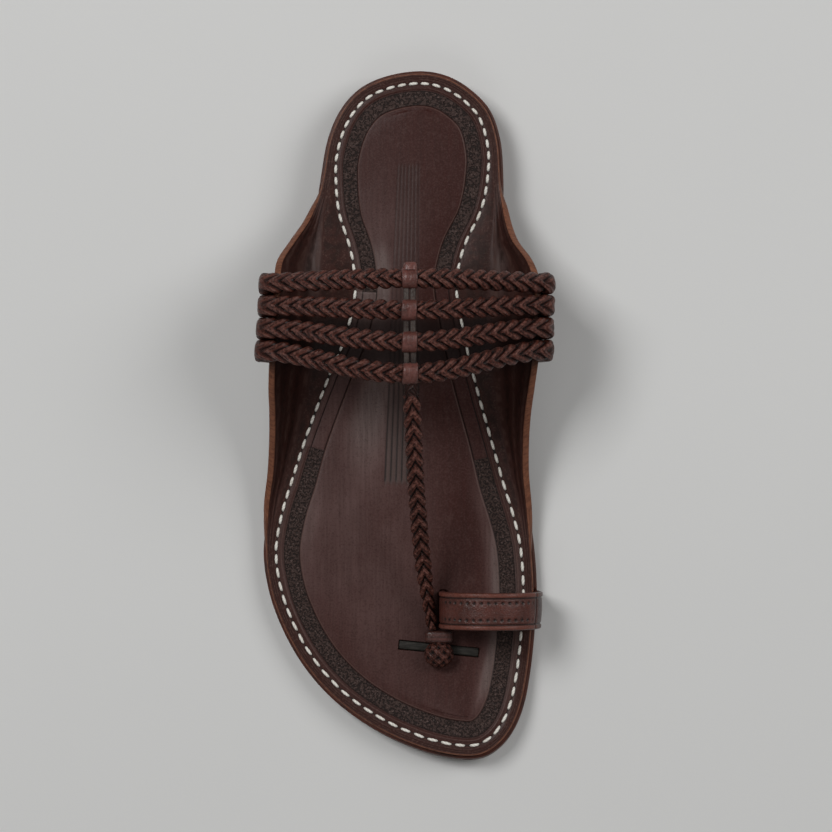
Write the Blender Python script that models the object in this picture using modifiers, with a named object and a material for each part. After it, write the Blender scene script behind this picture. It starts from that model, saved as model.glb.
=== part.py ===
"""Kolhapuri sandal for the right foot, at its real size.

A leather outsole on a stacked heel carries a footbed whose two sides turn up as ears. Four braided
cords run from ear to ear over the instep, wraps and strands of flat lace gather them in the middle, and
a braided strap leads from there to a knot between the first two toes. A flat leather ring goes over the
big toe.

X points to the big toe's side, the toes point to -Y and Z is up. Lengths are in metres.
"""

import math
from collections import namedtuple

import bmesh
import bpy
import numpy as np
from mathutils import Matrix, Vector

# The sole
LENGTH = 0.272
BALL_WIDTH = 0.1077
OUTSOLE_THICKNESS = 0.005
FOOTBED_THICKNESS = 0.0026
HEEL_HEIGHT = 0.009
TOE_SPRING = 0.005
SEAM_GAP = 0.0003  # between pieces that meet
EDGE_STEP = 0.0013  # the outsole stands out this far past the footbed
EDGE_ROUND = 0.0009
HEEL_INSET = 0.0012
HEEL_BREAST = 0.27  # shares of the length, from the heel's back
WAIST_END = 0.53
TOE_SPRING_START = 0.84

# The footbed
STITCH_MARGIN = 0.0053
PANEL_INSET = 0.0084  # from the stitch line to the raised middle panel
PANEL_RISE = 0.0006
PANEL_SLOPE = 0.0008
PINCH_DEPTH = 0.0113  # how far the stitch line turns in at the waist
EAR_ROOT = 0.004  # the ears start to bend this far inside the outsole's edge
EAR_HEIGHT = 0.030
LATERAL_EAR_REACH = 0.0121
MEDIAL_EAR_REACH = 0.0168
EAR_RIM_ANGLE = math.radians(78)

# The instep cords
CORD_COUNT = 4
CORD_WIDTH = 0.0080
CORD_THICKNESS = 0.0052
CORD_CLEARANCE = 0.0006  # between neighbouring cords at the ears
CORD_RISE = 0.0225  # the middle of the band over the place where it leaves the ears
CORD_LEAVE_ANGLE = math.radians(42)
CORD_LET_IN = 0.005  # the length of each end that lies between outsole and footbed
CORD_END_THICKNESS = 0.0016
CORD_FULL_SHARE = 0.5  # a cord has its full thickness from this share of the ear's section
BRAID_PITCH = 0.0058
BRAID_RELIEF = 0.17  # a share of the cord's half thickness
BRAID_LEAN = 0.8  # a share of the pitch
BAND_ALONG = 0.3625  # middle of the band, a share of the length from the heel's back
LACE_PULL = 0.0043  # the lace draws the band's middle this far towards the toes
LACE_SPREAD = 0.0034  # and parts neighbouring cords this far there

# The lace and the toe strap
WRAP_LENGTH = 0.0058
WRAP_THICKNESS = 0.0006
STRAND_WIDTH = 0.0021
STRAND_THICKNESS = 0.0018
STRAND_SPREAD = 0.0013  # from the lace's middle to each strand's
LACE_SIDE = 0.019  # towards the big toe's side, a share of the ball width
STRAP_WIDTH = 0.0064
STRAP_END_WIDTH = 0.0044
STRAP_THICKNESS = 0.0046
STRAP_PITCH = 0.0061
STRAP_TAPER = 0.28  # the share of the strap's length that narrows
STRAP_HANDLE = 0.36  # how far its ends hold their direction, a share of its run
STRAP_LEAVE_ANGLE = math.radians(11)
STRAP_ARRIVE_ANGLE = math.radians(16)

# The knot, its slot and the toe ring
KNOT_DIAMETER = 0.0106
KNOT_HEIGHT = 0.0082
KNOT_BAND = (0.0092, 0.0046, 0.0064)  # width, length and height
KNOT_STEM = 0.0030
KNOT_ALONG = 0.848
KNOT_SIDE = 0.101  # a share of the ball width
STRAP_END_OFFSET = 0.0026  # the strap meets the knot's band this far to the little toe's side
SLOT_LENGTH = 0.032
SLOT_WIDTH = 0.0039
SLOT_ALONG = 0.8375
SLOT_SIDE = 0.098
SLOT_ANGLE = math.radians(-7.6)
RING_WIDTH = 0.0146
RING_THICKNESS = 0.002
RING_ALONG = 0.7825
RING_SIDE = 0.114  # of the leg beside the strap, a share of the ball width
RING_HEIGHT = 0.025  # of the ring's middle over the footbed
RING_WIDEST = 0.0085  # the ring is widest this far over the footbed
RING_BULGE = 0.0012  # past its foot at the sole's edge
RING_LET_IN = 0.011  # the length of the outer end that lies between outsole and footbed

EDGE_POINTS = 96  # round each closed outline
CORD_SIDES = 8

LEATHER = (0.075, 0.035, 0.028, 1)
EDGE_LEATHER = (0.13, 0.055, 0.035, 1)
CORD_LEATHER = (0.11, 0.04, 0.032, 1)
RING_LEATHER = (0.10, 0.055, 0.05, 1)

# The outsole's plan. along is a share of the length from the heel's back, and the two sides are shares
# of the ball width from the middle of the heel.
Outline = namedtuple("Outline", "along lateral medial")
HEEL_BACK_SIDE = 0.030
TOE_TIP_SIDE = 0.205
OUTLINE = [
    Outline(0.025, 0.190, 0.211),
    Outline(0.057, 0.263, 0.2885),
    Outline(0.100, 0.309, 0.3265),
    Outline(0.150, 0.332, 0.337),
    Outline(0.210, 0.352, 0.336),
    Outline(0.280, 0.355, 0.318),
    Outline(0.360, 0.368, 0.308),
    Outline(0.440, 0.401, 0.321),
    Outline(0.520, 0.449, 0.356),
    Outline(0.580, 0.491, 0.393),
    Outline(0.640, 0.532, 0.429),
    Outline(0.700, 0.552, 0.451),
    Outline(0.760, 0.531, 0.459),
    Outline(0.820, 0.474, 0.450),
    Outline(0.880, 0.379, 0.433),
    Outline(0.920, 0.281, 0.413),
    Outline(0.960, 0.132, 0.371),
    Outline(0.985, -0.012, 0.316),
]

# The ears. The reaches are shares of each ear's reach past the footbed's plain edge, and the height is
# a share of the ear height.
Ear = namedtuple("Ear", "along lateral medial height")
EARS = [
    Ear(0.00, 0.00, 0.00, 0.00),
    Ear(0.15, 0.00, 0.00, 0.00),
    Ear(0.17, 0.02, 0.01, 0.01),
    Ear(0.19, 0.09, 0.06, 0.04),
    Ear(0.22, 0.28, 0.16, 0.18),
    Ear(0.25, 0.65, 0.38, 0.43),
    Ear(0.28, 0.97, 0.76, 0.76),
    Ear(0.31, 1.00, 0.98, 0.94),
    Ear(0.36, 0.97, 1.00, 1.00),
    Ear(0.42, 0.89, 0.93, 0.97),
    Ear(0.46, 0.78, 0.76, 0.85),
    Ear(0.50, 0.59, 0.55, 0.66),
    Ear(0.54, 0.41, 0.36, 0.46),
    Ear(0.58, 0.25, 0.19, 0.27),
    Ear(0.63, 0.13, 0.07, 0.10),
    Ear(0.70, 0.00, 0.00, 0.00),
    Ear(1.00, 0.00, 0.00, 0.00),
]

# How far the stitch line turns in at the waist, as shares of the pinch depth.
Pinch = namedtuple("Pinch", "along lateral medial")
PINCHES = [
    Pinch(0.00, 0.00, 0.00),
    Pinch(0.13, 0.00, 0.00),
    Pinch(0.20, 0.34, 0.26),
    Pinch(0.27, 0.85, 0.80),
    Pinch(0.31, 1.00, 0.92),
    Pinch(0.37, 0.83, 0.68),
    Pinch(0.44, 0.42, 0.42),
    Pinch(0.52, 0.15, 0.23),
    Pinch(0.60, 0.06, 0.16),
    Pinch(0.69, 0.00, 0.00),
    Pinch(1.00, 0.00, 0.00),
]

EAR_ROWS = (0.0, 0.22, 0.46, 0.72, 1.0)  # shares of the ear's section


def smooth(knots, values, where):
    """The smooth curve through a table's rows, read at where. Its slope at a row is that of the
    parabola through the rows on either side."""
    knots, values = np.asarray(knots, float), np.asarray(values, float)
    steps = np.diff(knots)
    rates = np.diff(values) / steps
    inner = (steps[1:] * rates[:-1] + steps[:-1] * rates[1:]) / (steps[1:] + steps[:-1])
    slopes = np.concatenate([rates[:1], inner, rates[-1:]])
    k = np.clip(np.searchsorted(knots, where) - 1, 0, len(steps) - 1)
    h = steps[k]
    u = np.clip((where - knots[k]) / h, 0, 1)
    bend = slopes[k] * u * (1 - u) ** 2 - slopes[k + 1] * u * u * (1 - u)
    return values[k] + (values[k + 1] - values[k]) * ease(u) + h * bend


def column(table, name, along):
    """A table's column at these shares of the length, never below zero."""
    rows = [getattr(row, name) for row in table]
    return np.maximum(smooth([row.along for row in table], rows, along), 0)


def ease(share):
    """0 to 1 with level ends."""
    share = np.clip(share, 0, 1)
    return share * share * (3 - 2 * share)


def bezier(start, first, last, end, shares):
    """Points on the cubic curve with these ends and handles."""
    u = np.asarray(shares, float)[:, None]
    v = 1 - u
    return v**3 * start + 3 * v * v * u * first + 3 * v * u * u * last + u**3 * end


def along_of(y):
    """The share of the length from the heel's back."""
    return 0.5 - y / LENGTH


def y_at(along):
    return (0.5 - along) * LENGTH


def sole_rise(y):
    """The height of the outsole's underside over the floor."""
    along = along_of(y)
    heel = 1 - ease((along - HEEL_BREAST) / (WAIST_END - HEEL_BREAST))
    toe = np.clip((along - TOE_SPRING_START) / (1 - TOE_SPRING_START), 0, 1) ** 2
    return HEEL_HEIGHT * heel + TOE_SPRING * toe


def outsole_top(y):
    return sole_rise(y) + OUTSOLE_THICKNESS


def footbed_top(y):
    return outsole_top(y) + SEAM_GAP + FOOTBED_THICKNESS


def panel_top(y):
    return footbed_top(y) + PANEL_RISE


def outline(angles):
    """The outsole's edge in plan, one (x, y) for each angle: 0 is the heel's back and pi the toe tip,
    by the lateral side."""
    turns = [math.acos(1 - 2 * row.along) for row in OUTLINE]
    knots = [0, *turns, math.pi, *[2 * math.pi - turn for turn in reversed(turns)]]
    sides = [HEEL_BACK_SIDE, *[-row.lateral for row in OUTLINE]]
    sides += [TOE_TIP_SIDE, *[row.medial for row in reversed(OUTLINE)]]
    knots = np.array([knot + turn * 2 * math.pi for turn in (-1, 0, 1) for knot in knots])
    x = smooth(knots, sides * 3, angles) * BALL_WIDTH
    return np.stack([x, np.cos(angles) * LENGTH / 2], axis=1)


def whole_outline():
    return outline(np.arange(EDGE_POINTS) * 2 * math.pi / EDGE_POINTS)


def edge_at(y, sign):
    """The outsole's edge at this y, on the lateral (-1) or medial (1) side."""
    turn = math.acos(np.clip(2 * y / LENGTH, -1, 1))
    angle = turn if sign < 0 else 2 * math.pi - turn
    return float(outline(np.array([angle]))[0, 0])


def outward(points):
    """The unit normals of a closed plan, pointing out of it."""
    tangent = np.roll(points, -1, axis=0) - np.roll(points, 1, axis=0)
    tangent /= np.linalg.norm(tangent, axis=1)[:, None]
    return np.stack([tangent[:, 1], -tangent[:, 0]], axis=1)


def stitch_inset(points):
    along = along_of(points[:, 1])
    lateral, medial = (column(PINCHES, side, along) for side in ("lateral", "medial"))
    on_lateral = np.arange(len(points)) <= len(points) // 2
    return STITCH_MARGIN + PINCH_DEPTH * np.where(on_lateral, lateral, medial)


def ear_size(y, sign):
    """Bend point, reach and rise of the ear's section at this y on the lateral (-1) or medial (1)
    side."""
    along = along_of(y)
    side, reach = ("lateral", LATERAL_EAR_REACH) if sign < 0 else ("medial", MEDIAL_EAR_REACH)
    share = float(column(EARS, side, along))
    rise = float(column(EARS, "height", along))
    bend = edge_at(y, sign) - sign * EAR_ROOT
    return bend, EAR_ROOT - EDGE_STEP + reach * share, EAR_HEIGHT * rise


def ear_section(out, up, shares):
    """The inner face of an ear in its own section: offsets (out, up) from the bend, and the unit normals
    that point away from the foot, at shares of the way from the bend to the rim."""
    angle = EAR_RIM_ANGLE * math.tanh(2 * math.atan2(up, out) / EAR_RIM_ANGLE)
    reach = math.hypot(out, up)
    start, end = np.zeros(2), np.array([out, up])
    first = np.array([0.42 * reach * min(1, out / reach + 0.1), 0])
    last = end - 0.36 * reach * np.array([math.cos(angle), math.sin(angle)])
    place = bezier(start, first, last, end, shares)
    step = 0.001
    slope = bezier(start, first, last, end, np.asarray(shares) + step) - place
    slope /= np.linalg.norm(slope, axis=1)[:, None]
    return place, np.stack([slope[:, 1], -slope[:, 0]], axis=1)


def ear_faces(points):
    """Inner and outer face of the footbed's edge strip and ears: two lists of rings. Where the ears
    stand, their sections lie straight across the foot."""
    inner, outer = [], []
    for i, ((x, y), normal) in enumerate(zip(points, outward(points))):
        sign = -1 if i <= len(points) // 2 else 1
        _, out, up = ear_size(y, sign)
        turn = float(ease(8 * up / EAR_HEIGHT))
        direction = normal * (1 - turn) + np.array([sign, 0]) * turn
        direction /= np.linalg.norm(direction)
        place, slope_normal = ear_section(out, up, EAR_ROWS)
        for rings, depth in ((inner, 0), (outer, FOOTBED_THICKNESS)):
            offset = place + slope_normal * depth
            plan = np.array([x, y]) + direction * (offset[:, :1] - EAR_ROOT)
            rings.append(np.column_stack([plan, footbed_top(plan[:, 1]) + offset[:, 1]]))
    return list(np.array(inner).transpose(1, 0, 2)), list(np.array(outer).transpose(1, 0, 2))


def material(name, colour, roughness):
    made = bpy.data.materials.new(name)
    made.use_nodes = True
    shader = made.node_tree.nodes["Principled BSDF"]
    shader.inputs["Base Color"].default_value = colour
    shader.inputs["Roughness"].default_value = roughness
    shader.inputs["Metallic"].default_value = 0
    return made


def collection(name):
    made = bpy.data.collections.new(name)
    bpy.context.scene.collection.children.link(made)
    return made


def add_object(name, vertices, faces, where, finish=None):
    mesh = bpy.data.meshes.new(name)
    mesh.from_pydata([tuple(map(float, v)) for v in vertices], [], faces)
    if finish:
        mesh.materials.append(finish)
    made = bpy.data.objects.new(name, mesh)
    where.objects.link(made)
    return made


def shade(made):
    made.data.shade_smooth()
    made.data.set_sharp_from_angle(angle=math.radians(35))


def join_rings(first, second, count, closed=True):
    """Faces between two rings or rows of vertices, which start at these numbers."""
    return [
        (first + i, first + (i + 1) % count, second + (i + 1) % count, second + i)
        for i in range(count if closed else count - 1)
    ]


def fill_across(first, count):
    """Faces that close a ring from its lateral to its medial side, facing up."""
    half = count // 2
    faces = [(first, first + 1, first + count - 1)]
    for i in range(1, half - 1):
        faces.append((first + i, first + i + 1, first + count - i - 1, first + count - i))
    faces.append((first + half - 1, first + half, first + half + 1))
    return faces


def loft(name, rings, where, finish=None):
    """A closed solid from rings of equal count, listed from the middle of the top, out, down and in to
    the middle of the underside."""
    count = len(rings[0])
    faces = fill_across(0, count)
    for k in range(len(rings) - 1):
        faces += join_rings((k + 1) * count, k * count, count)
    faces += [face[::-1] for face in fill_across((len(rings) - 1) * count, count)]
    return add_object(name, np.concatenate(rings), faces, where, finish)


def solidify(made, thickness, offset):
    shell = made.modifiers.new("thickness", "SOLIDIFY")
    shell.thickness = thickness
    shell.offset = offset
    shell.use_even_offset = True


def round_edges(made, width, segments):
    bevel = made.modifiers.new("rounded edges", "BEVEL")
    bevel.width = width
    bevel.segments = segments
    bevel.limit_method = "ANGLE"
    bevel.angle_limit = math.radians(50)


class Route:
    """A smooth strip through space: its centre line and its left and right edges, read by the distance
    along the centre."""

    def __init__(self, centre, left, right):
        self.centre, self.left, self.right = centre, left - centre, right - centre
        steps = np.linalg.norm(np.diff(centre, axis=0), axis=1)
        self.marks = np.concatenate([[0], np.cumsum(steps)])
        self.length = self.marks[-1]
        tangent = np.gradient(centre, self.marks, axis=0)
        up = np.cross(tangent, left - right)
        self.up = up / np.linalg.norm(up, axis=1)[:, None]

    def read(self, rows, distance):
        return np.stack([np.interp(distance, self.marks, rows[:, i]) for i in range(3)], axis=-1)

    def place(self, distance, beside, rise):
        """Points beside the centre line, as shares of the way to its right (1) or left (-1) edge, and
        raised from the strip."""
        right = np.clip(beside, 0, None)[..., None] * self.read(self.right, distance)
        left = np.clip(-beside, 0, None)[..., None] * self.read(self.left, distance)
        up = self.read(self.up, distance) * rise[..., None]
        return self.read(self.centre, distance) + right + left + up


def strip_route(centre, width, axis):
    """A route of this width, level along the axis."""
    half = np.asarray(axis, float) * np.reshape(width, (-1, 1)) / 2
    return Route(centre, centre - half, centre + half)


def sweep(name, route, distance, beside, rise, where, finish=None):
    """A closed tube with one ring of vertices for each row of the three arrays."""
    rows, count = beside.shape
    rings = route.place(distance, beside, rise).reshape(-1, 3)
    faces = []
    for k in range(rows - 1):
        faces += join_rings(k * count, (k + 1) * count, count)
    faces.append(tuple(reversed(range(count))))
    last = (rows - 1) * count
    faces.append(tuple(range(last, last + count)))
    return add_object(name, rings, faces, where, finish)


def braid(name, route, thickness, pitch, lean, where, finish=None):
    """A braided cord. Its strands stand out on both flanks in turn and lean into chevrons. thickness
    and lean are functions of the distance along the route."""
    rows = max(4, round(route.length / pitch * 2))
    marks = np.linspace(0, route.length, rows + 1)
    turn = np.arange(CORD_SIDES) * 2 * math.pi / CORD_SIDES
    flank = np.sign(np.round(np.cos(turn), 6))
    distance = marks[:, None] + lean(marks)[:, None] * pitch * np.abs(np.cos(turn))
    parity = np.where(np.arange(rows + 1) % 2, 1, -1)[:, None] * flank
    size = 1 - BRAID_RELIEF * (1 - parity) / 2
    size[0] = size[-1] = 1 - BRAID_RELIEF
    beside = np.cos(turn) * size
    rise = np.sin(turn) * size * thickness(marks)[:, None] / 2
    return sweep(name, route, distance, beside, rise, where, finish)


def cord_half(y, sign):
    """One side of a cord's line in the plane across the foot: rows of (x, z) from the end that is let
    in, up the ear's outer face and over its rim, then the direction in which it leaves."""
    bend, out, up = ear_size(y, sign)
    shares = np.linspace(0, 1, 24)
    place, normal = ear_section(out, up, shares)
    half = np.interp(shares, [0, CORD_FULL_SHARE], [CORD_END_THICKNESS / 2, CORD_THICKNESS / 2])
    face = place + normal * (FOOTBED_THICKNESS + SEAM_GAP + half)[:, None]
    inside = face[0] - np.array([CORD_LET_IN, 0]) * np.linspace(1, 0, 4)[:-1, None]
    rim = place[-1] + normal[-1] * FOOTBED_THICKNESS / 2
    radius = FOOTBED_THICKNESS / 2 + SEAM_GAP + CORD_THICKNESS / 2
    start = math.atan2(normal[-1][1], normal[-1][0])
    turns = np.linspace(start, math.pi / 2 - CORD_LEAVE_ANGLE, 10)[1:]
    over = rim + radius * np.stack([np.cos(turns), np.sin(turns)], axis=1)
    line = np.concatenate([inside, face, over])
    leave = np.array([-sign * math.cos(CORD_LEAVE_ANGLE), math.sin(CORD_LEAVE_ANGLE)])
    return np.stack([bend + sign * line[:, 0], footbed_top(y) + line[:, 1]], axis=1), leave


def cord_line(ear_y, lace_y):
    """A line along the instep band from its lateral to its medial end, at ear_y over the ears and drawn
    to lace_y under the lace, and the number of its points at each ear."""
    first, leave_first = cord_half(ear_y, -1)
    last, leave_last = cord_half(ear_y, 1)
    reach = CORD_RISE / (0.75 * math.sin(CORD_LEAVE_ANGLE))
    start, end = first[-1], last[-1]
    handles = start + leave_first * reach, end + leave_last * reach
    arch = bezier(start, *handles, end, np.linspace(0, 1, 60)[1:-1])
    line = np.concatenate([first, arch, last[::-1]])
    middle = LACE_SIDE * BALL_WIDTH
    span = np.where(line[:, 0] < middle, middle - start[0], end[0] - middle)
    pull = np.cos(np.clip(np.abs(line[:, 0] - middle) / span, 0, 1) * math.pi / 2) ** 1.6
    pull[: len(first)] = pull[-len(last) :] = 0
    y = ear_y + (lace_y - ear_y) * pull
    return np.column_stack([line[:, 0], y, line[:, 1]]), len(first)


def cord_route(number):
    """The strip of one instep cord, and the distance from its end to where it leaves the ear."""
    pitch = CORD_WIDTH + CORD_CLEARANCE
    place = (CORD_COUNT - 1) / 2 - number
    ear_y = y_at(BAND_ALONG) + place * pitch
    lace_y = y_at(BAND_ALONG) - LACE_PULL + place * (pitch + LACE_SPREAD)
    half = CORD_WIDTH / 2
    centre, ends = cord_line(ear_y, lace_y)
    left, _ = cord_line(ear_y + half, lace_y + half)
    right, _ = cord_line(ear_y - half, lace_y - half)
    route = Route(centre, left, right)
    return route, route.marks[ends]


def make_cord(number, where, finish):
    route, turn_end = cord_route(number)

    def thickness(mark):
        from_end = np.minimum(mark, route.length - mark) - CORD_LET_IN
        share = np.clip(from_end / (CORD_FULL_SHARE * turn_end), 0, 1)
        return CORD_END_THICKNESS + (CORD_THICKNESS - CORD_END_THICKNESS) * share

    def lean(mark):
        from_turn = np.minimum(mark, route.length - BRAID_PITCH - mark) - turn_end
        return BRAID_LEAN * ease(from_turn / (2 * BRAID_PITCH))

    name = f"instep_cord_{number + 1}"
    return braid(name, route, thickness, BRAID_PITCH, lean, where, finish), route


def lace_mark(route):
    """The distance along a cord at which the lace crosses it."""
    inner = slice(40, -40)
    offset = np.abs(route.centre[inner, 0] - LACE_SIDE * BALL_WIDTH)
    return route.marks[inner][np.argmin(offset)]


def make_wrap(number, route, where):
    """The flat leather that is wrapped round a cord."""
    sides = 12
    ends = np.array([-1, -0.86, 0.86, 1]) * WRAP_LENGTH / 2
    distance = (lace_mark(route) + ends)[:, None] * np.ones(sides)
    turn = np.arange(sides) * 2 * math.pi / sides
    skin = np.array([0.2, 1, 1, 0.2])[:, None] * WRAP_THICKNESS
    beside = np.cos(turn) * (1 + skin / (CORD_WIDTH / 2))
    rise = np.sin(turn) * (CORD_THICKNESS / 2 + skin)
    return sweep(f"wrap_{number + 1}", route, distance, beside, rise, where)


def flat_section(rows, thickness):
    """The section of a flat strip with eased edges, repeated for each row."""
    beside = np.array([1, 1, 0.8, -0.8, -1, -1, -0.8, 0.8])
    rise = np.array([-0.5, 0.5, 1, 1, 0.5, -0.5, -1, -1])
    ones = np.ones((rows, 1))
    return ones * beside, ones * rise * thickness / 2


def make_strand(name, start, end, where):
    """One of the two narrow strands that join neighbouring wraps."""
    centre = np.linspace(start, end, 3)
    route = strip_route(centre, STRAND_WIDTH, (-1, 0, 0))
    beside, rise = flat_section(2, STRAND_THICKNESS)
    distance = np.array([[0], [route.length]]) * np.ones(8)
    return sweep(name, route, distance, beside, rise, where)


def make_lace(routes, where):
    """The wraps and strands that gather the cords, and the place of the last one's middle."""
    made = [make_wrap(number, route, where) for number, route in enumerate(routes)]
    middles = [route.read(route.centre, lace_mark(route)) for route in routes]
    for number, (start, end) in enumerate(zip(middles, middles[1:]), 1):
        for side, shift in (("a", -STRAND_SPREAD), ("b", STRAND_SPREAD)):
            offset = np.array([shift, 0, 0])
            made.append(make_strand(f"strand_{number}{side}", start + offset, end + offset, where))
    return made, middles[-1]


def knot_middle():
    """The middle of the knot's ball, on the footbed's level."""
    y = y_at(KNOT_ALONG)
    return np.array([KNOT_SIDE * BALL_WIDTH, y, panel_top(y)])


def knot_band_middle():
    """The middle of the flat band round the knot's neck."""
    width, length, height = KNOT_BAND
    middle = knot_middle() + [0, KNOT_DIAMETER * 0.42 + length / 2, 0]
    middle[2] = panel_top(middle[1]) + SEAM_GAP + height / 2
    return middle


def strap_route(start):
    """The toe strap's line, from the lace down to the knot's band."""
    clear = SEAM_GAP + STRAP_THICKNESS / 2 * math.sin(STRAP_ARRIVE_ANGLE)
    end = knot_band_middle() + [-STRAP_END_OFFSET, KNOT_BAND[1] / 2 + clear, 0]
    reach = STRAP_HANDLE * (start[1] - end[1])
    leave = start + reach * np.array([0.045, -1, -math.tan(STRAP_LEAVE_ANGLE)])
    arrive = end + reach * np.array([-0.16, 1, math.tan(STRAP_ARRIVE_ANGLE)])
    shares = np.linspace(0, 1, 80)
    line = bezier(start, leave, arrive, end, shares)
    taper = ease((shares - 1 + STRAP_TAPER) / STRAP_TAPER)
    width = STRAP_WIDTH + (STRAP_END_WIDTH - STRAP_WIDTH) * taper
    return strip_route(line, width, (-1, 0, 0))


def make_toe_strap(start, where):
    route = strap_route(start)

    def thickness(mark):
        return np.full(len(mark), STRAP_THICKNESS)

    def lean(mark):
        from_end = np.minimum(mark, route.length - STRAP_PITCH - mark)
        return BRAID_LEAN * ease(from_end / (2 * STRAP_PITCH))

    return braid("toe_strap", route, thickness, STRAP_PITCH, lean, where)


def apply_modifiers(made):
    bpy.context.view_layer.update()
    graph = bpy.context.evaluated_depsgraph_get()
    old = made.data
    made.data = bpy.data.meshes.new_from_object(made.evaluated_get(graph))
    made.modifiers.clear()
    bpy.data.meshes.remove(old)
    made.data.name = made.name


def combine(made, others, operation):
    """Joins the others into the piece (UNION) or cuts them from it (DIFFERENCE), and removes them."""
    for other in others:
        boolean = made.modifiers.new(other.name, "BOOLEAN")
        boolean.operation = operation
        boolean.object = other
    apply_modifiers(made)
    for other in others:
        bpy.data.objects.remove(other)


def hide_cutter(made):
    made.hide_render = True
    made.display_type = "WIRE"
    return made


def make_pocket(name, low_y, high_y, inner_x, outer_x, depth, where):
    """A cutter that lowers the outsole's top by depth, between two edges given as functions of y."""
    rings = []
    for y in np.linspace(low_y, high_y, 7):
        floor, roof = outsole_top(y) - depth, outsole_top(y) + depth
        x = sorted((inner_x(y), outer_x(y)))
        rings.append([(x[0], y, floor), (x[1], y, floor), (x[1], y, roof), (x[0], y, roof)])
    faces = [(0, 1, 2, 3)]
    for k in range(len(rings) - 1):
        faces += join_rings((k + 1) * 4, k * 4, 4)
    last = (len(rings) - 1) * 4
    faces.append((last + 3, last + 2, last + 1, last))
    return hide_cutter(add_object(name, np.concatenate(rings), faces, where))


def cord_pockets(where):
    """The two recesses under the ears that take the cords' ends."""
    half = CORD_COUNT * (CORD_WIDTH + CORD_CLEARANCE) / 2
    low, high = y_at(BAND_ALONG) - half, y_at(BAND_ALONG) + half
    depth = CORD_END_THICKNESS + SEAM_GAP
    for name, sign in (("lateral_pocket", -1), ("medial_pocket", 1)):

        def inner(y, sign=sign):
            return edge_at(y, sign) - sign * (EAR_ROOT + CORD_LET_IN + SEAM_GAP)

        def outer(y, sign=sign):
            return edge_at(y, sign) + sign * EAR_ROOT

        yield make_pocket(name, low, high, inner, outer, depth, where)


def ring_span():
    """The toe ring's two edges in y."""
    return y_at(RING_ALONG) - RING_WIDTH / 2, y_at(RING_ALONG) + RING_WIDTH / 2


def ring_pocket(where):
    """The recess that takes the toe ring's outer end."""
    low, high = ring_span()

    def inner(y):
        return edge_at(y, 1) - EDGE_STEP - RING_LET_IN - SEAM_GAP

    def outer(y):
        return edge_at(y, 1) + EAR_ROOT

    depth = RING_THICKNESS + SEAM_GAP
    return make_pocket("ring_pocket", low - SEAM_GAP, high + SEAM_GAP, inner, outer, depth, where)


def make_outsole(where, cutters, finish):
    """One thickness of leather that follows the arch, with eased edges and the three recesses."""
    plan = whole_outline()
    points = np.column_stack([plan, outsole_top(plan[:, 1])])
    made = add_object("outsole", points, fill_across(0, len(points)), where, finish)
    solidify(made, OUTSOLE_THICKNESS, -1)
    round_edges(made, EDGE_ROUND, 1)
    apply_modifiers(made)
    combine(made, [*cord_pockets(cutters), ring_pocket(cutters)], "DIFFERENCE")
    return made


def make_heel(where, finish):
    """The stacked heel under the back of the sole, with a straight breast."""
    breast = math.acos(1 - 2 * HEEL_BREAST)
    angles = np.linspace(-breast, breast, EDGE_POINTS // 2)
    edge = outline(angles)
    curve = bpy.data.curves.new("heel_lift", "CURVE")
    curve.dimensions = "2D"
    curve.fill_mode = "BOTH"
    curve.extrude = (HEEL_HEIGHT - SEAM_GAP) / 2 - EDGE_ROUND
    curve.bevel_depth = EDGE_ROUND
    curve.bevel_resolution = 0
    curve.offset = -HEEL_INSET - EDGE_ROUND
    spline = curve.splines.new("POLY")
    spline.points.add(len(edge) - 1)
    for point, (x, y) in zip(spline.points, edge):
        point.co = (x, y, 0, 1)
    spline.use_cyclic_u = True
    curve.materials.append(finish)
    made = bpy.data.objects.new("heel_lift", curve)
    made.location.z = (HEEL_HEIGHT - SEAM_GAP) / 2
    where.objects.link(made)
    return made


def make_footbed(where, cutters, finish):
    """The top leather: a raised middle panel, a flat margin, and the two ears."""
    plan = whole_outline()
    normals = outward(plan)
    foot = stitch_inset(plan) + PANEL_INSET
    panel_foot = plan - normals * foot[:, None]
    panel_edge = plan - normals * (foot + PANEL_SLOPE)[:, None]
    inner, outer = ear_faces(plan)
    rings = [
        np.column_stack([panel_edge, footbed_top(panel_edge[:, 1]) + PANEL_RISE]),
        np.column_stack([panel_foot, footbed_top(panel_foot[:, 1])]),
    ]
    made = loft("footbed", rings + inner + outer[::-1], where, finish)
    combine(made, [slot_cutter(cutters), ring_slit(cutters)], "DIFFERENCE")
    shade(made)
    return made


def solid(name, shape, where, finish=None):
    """An object from a finished bmesh."""
    mesh = bpy.data.meshes.new(name)
    shape.to_mesh(mesh)
    shape.free()
    if finish:
        mesh.materials.append(finish)
    made = bpy.data.objects.new(name, mesh)
    where.objects.link(made)
    return made


def box(name, size, matrix, where):
    """A box of this size, placed by a matrix."""
    shape = bmesh.new()
    bmesh.ops.create_cube(shape, size=1, matrix=matrix @ Matrix.Diagonal((*size, 1)))
    return solid(name, shape, where)


def slot_cutter(where):
    """The narrow slot between the toes."""
    y = y_at(SLOT_ALONG)
    place = Matrix.Translation((SLOT_SIDE * BALL_WIDTH, y, footbed_top(y)))
    size = (SLOT_LENGTH, SLOT_WIDTH, 4 * FOOTBED_THICKNESS)
    return hide_cutter(box("slot", size, place @ Matrix.Rotation(SLOT_ANGLE, 4, "Z"), where))


def ring_slit(where):
    """The slit that takes the ring's leg beside the strap."""
    y = y_at(RING_ALONG)
    size = (RING_THICKNESS + 2 * SEAM_GAP, RING_WIDTH + 2 * SEAM_GAP, 4 * FOOTBED_THICKNESS)
    place = Matrix.Translation((RING_SIDE * BALL_WIDTH, y, footbed_top(y)))
    return hide_cutter(box("ring_slit", size, place, where))


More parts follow.
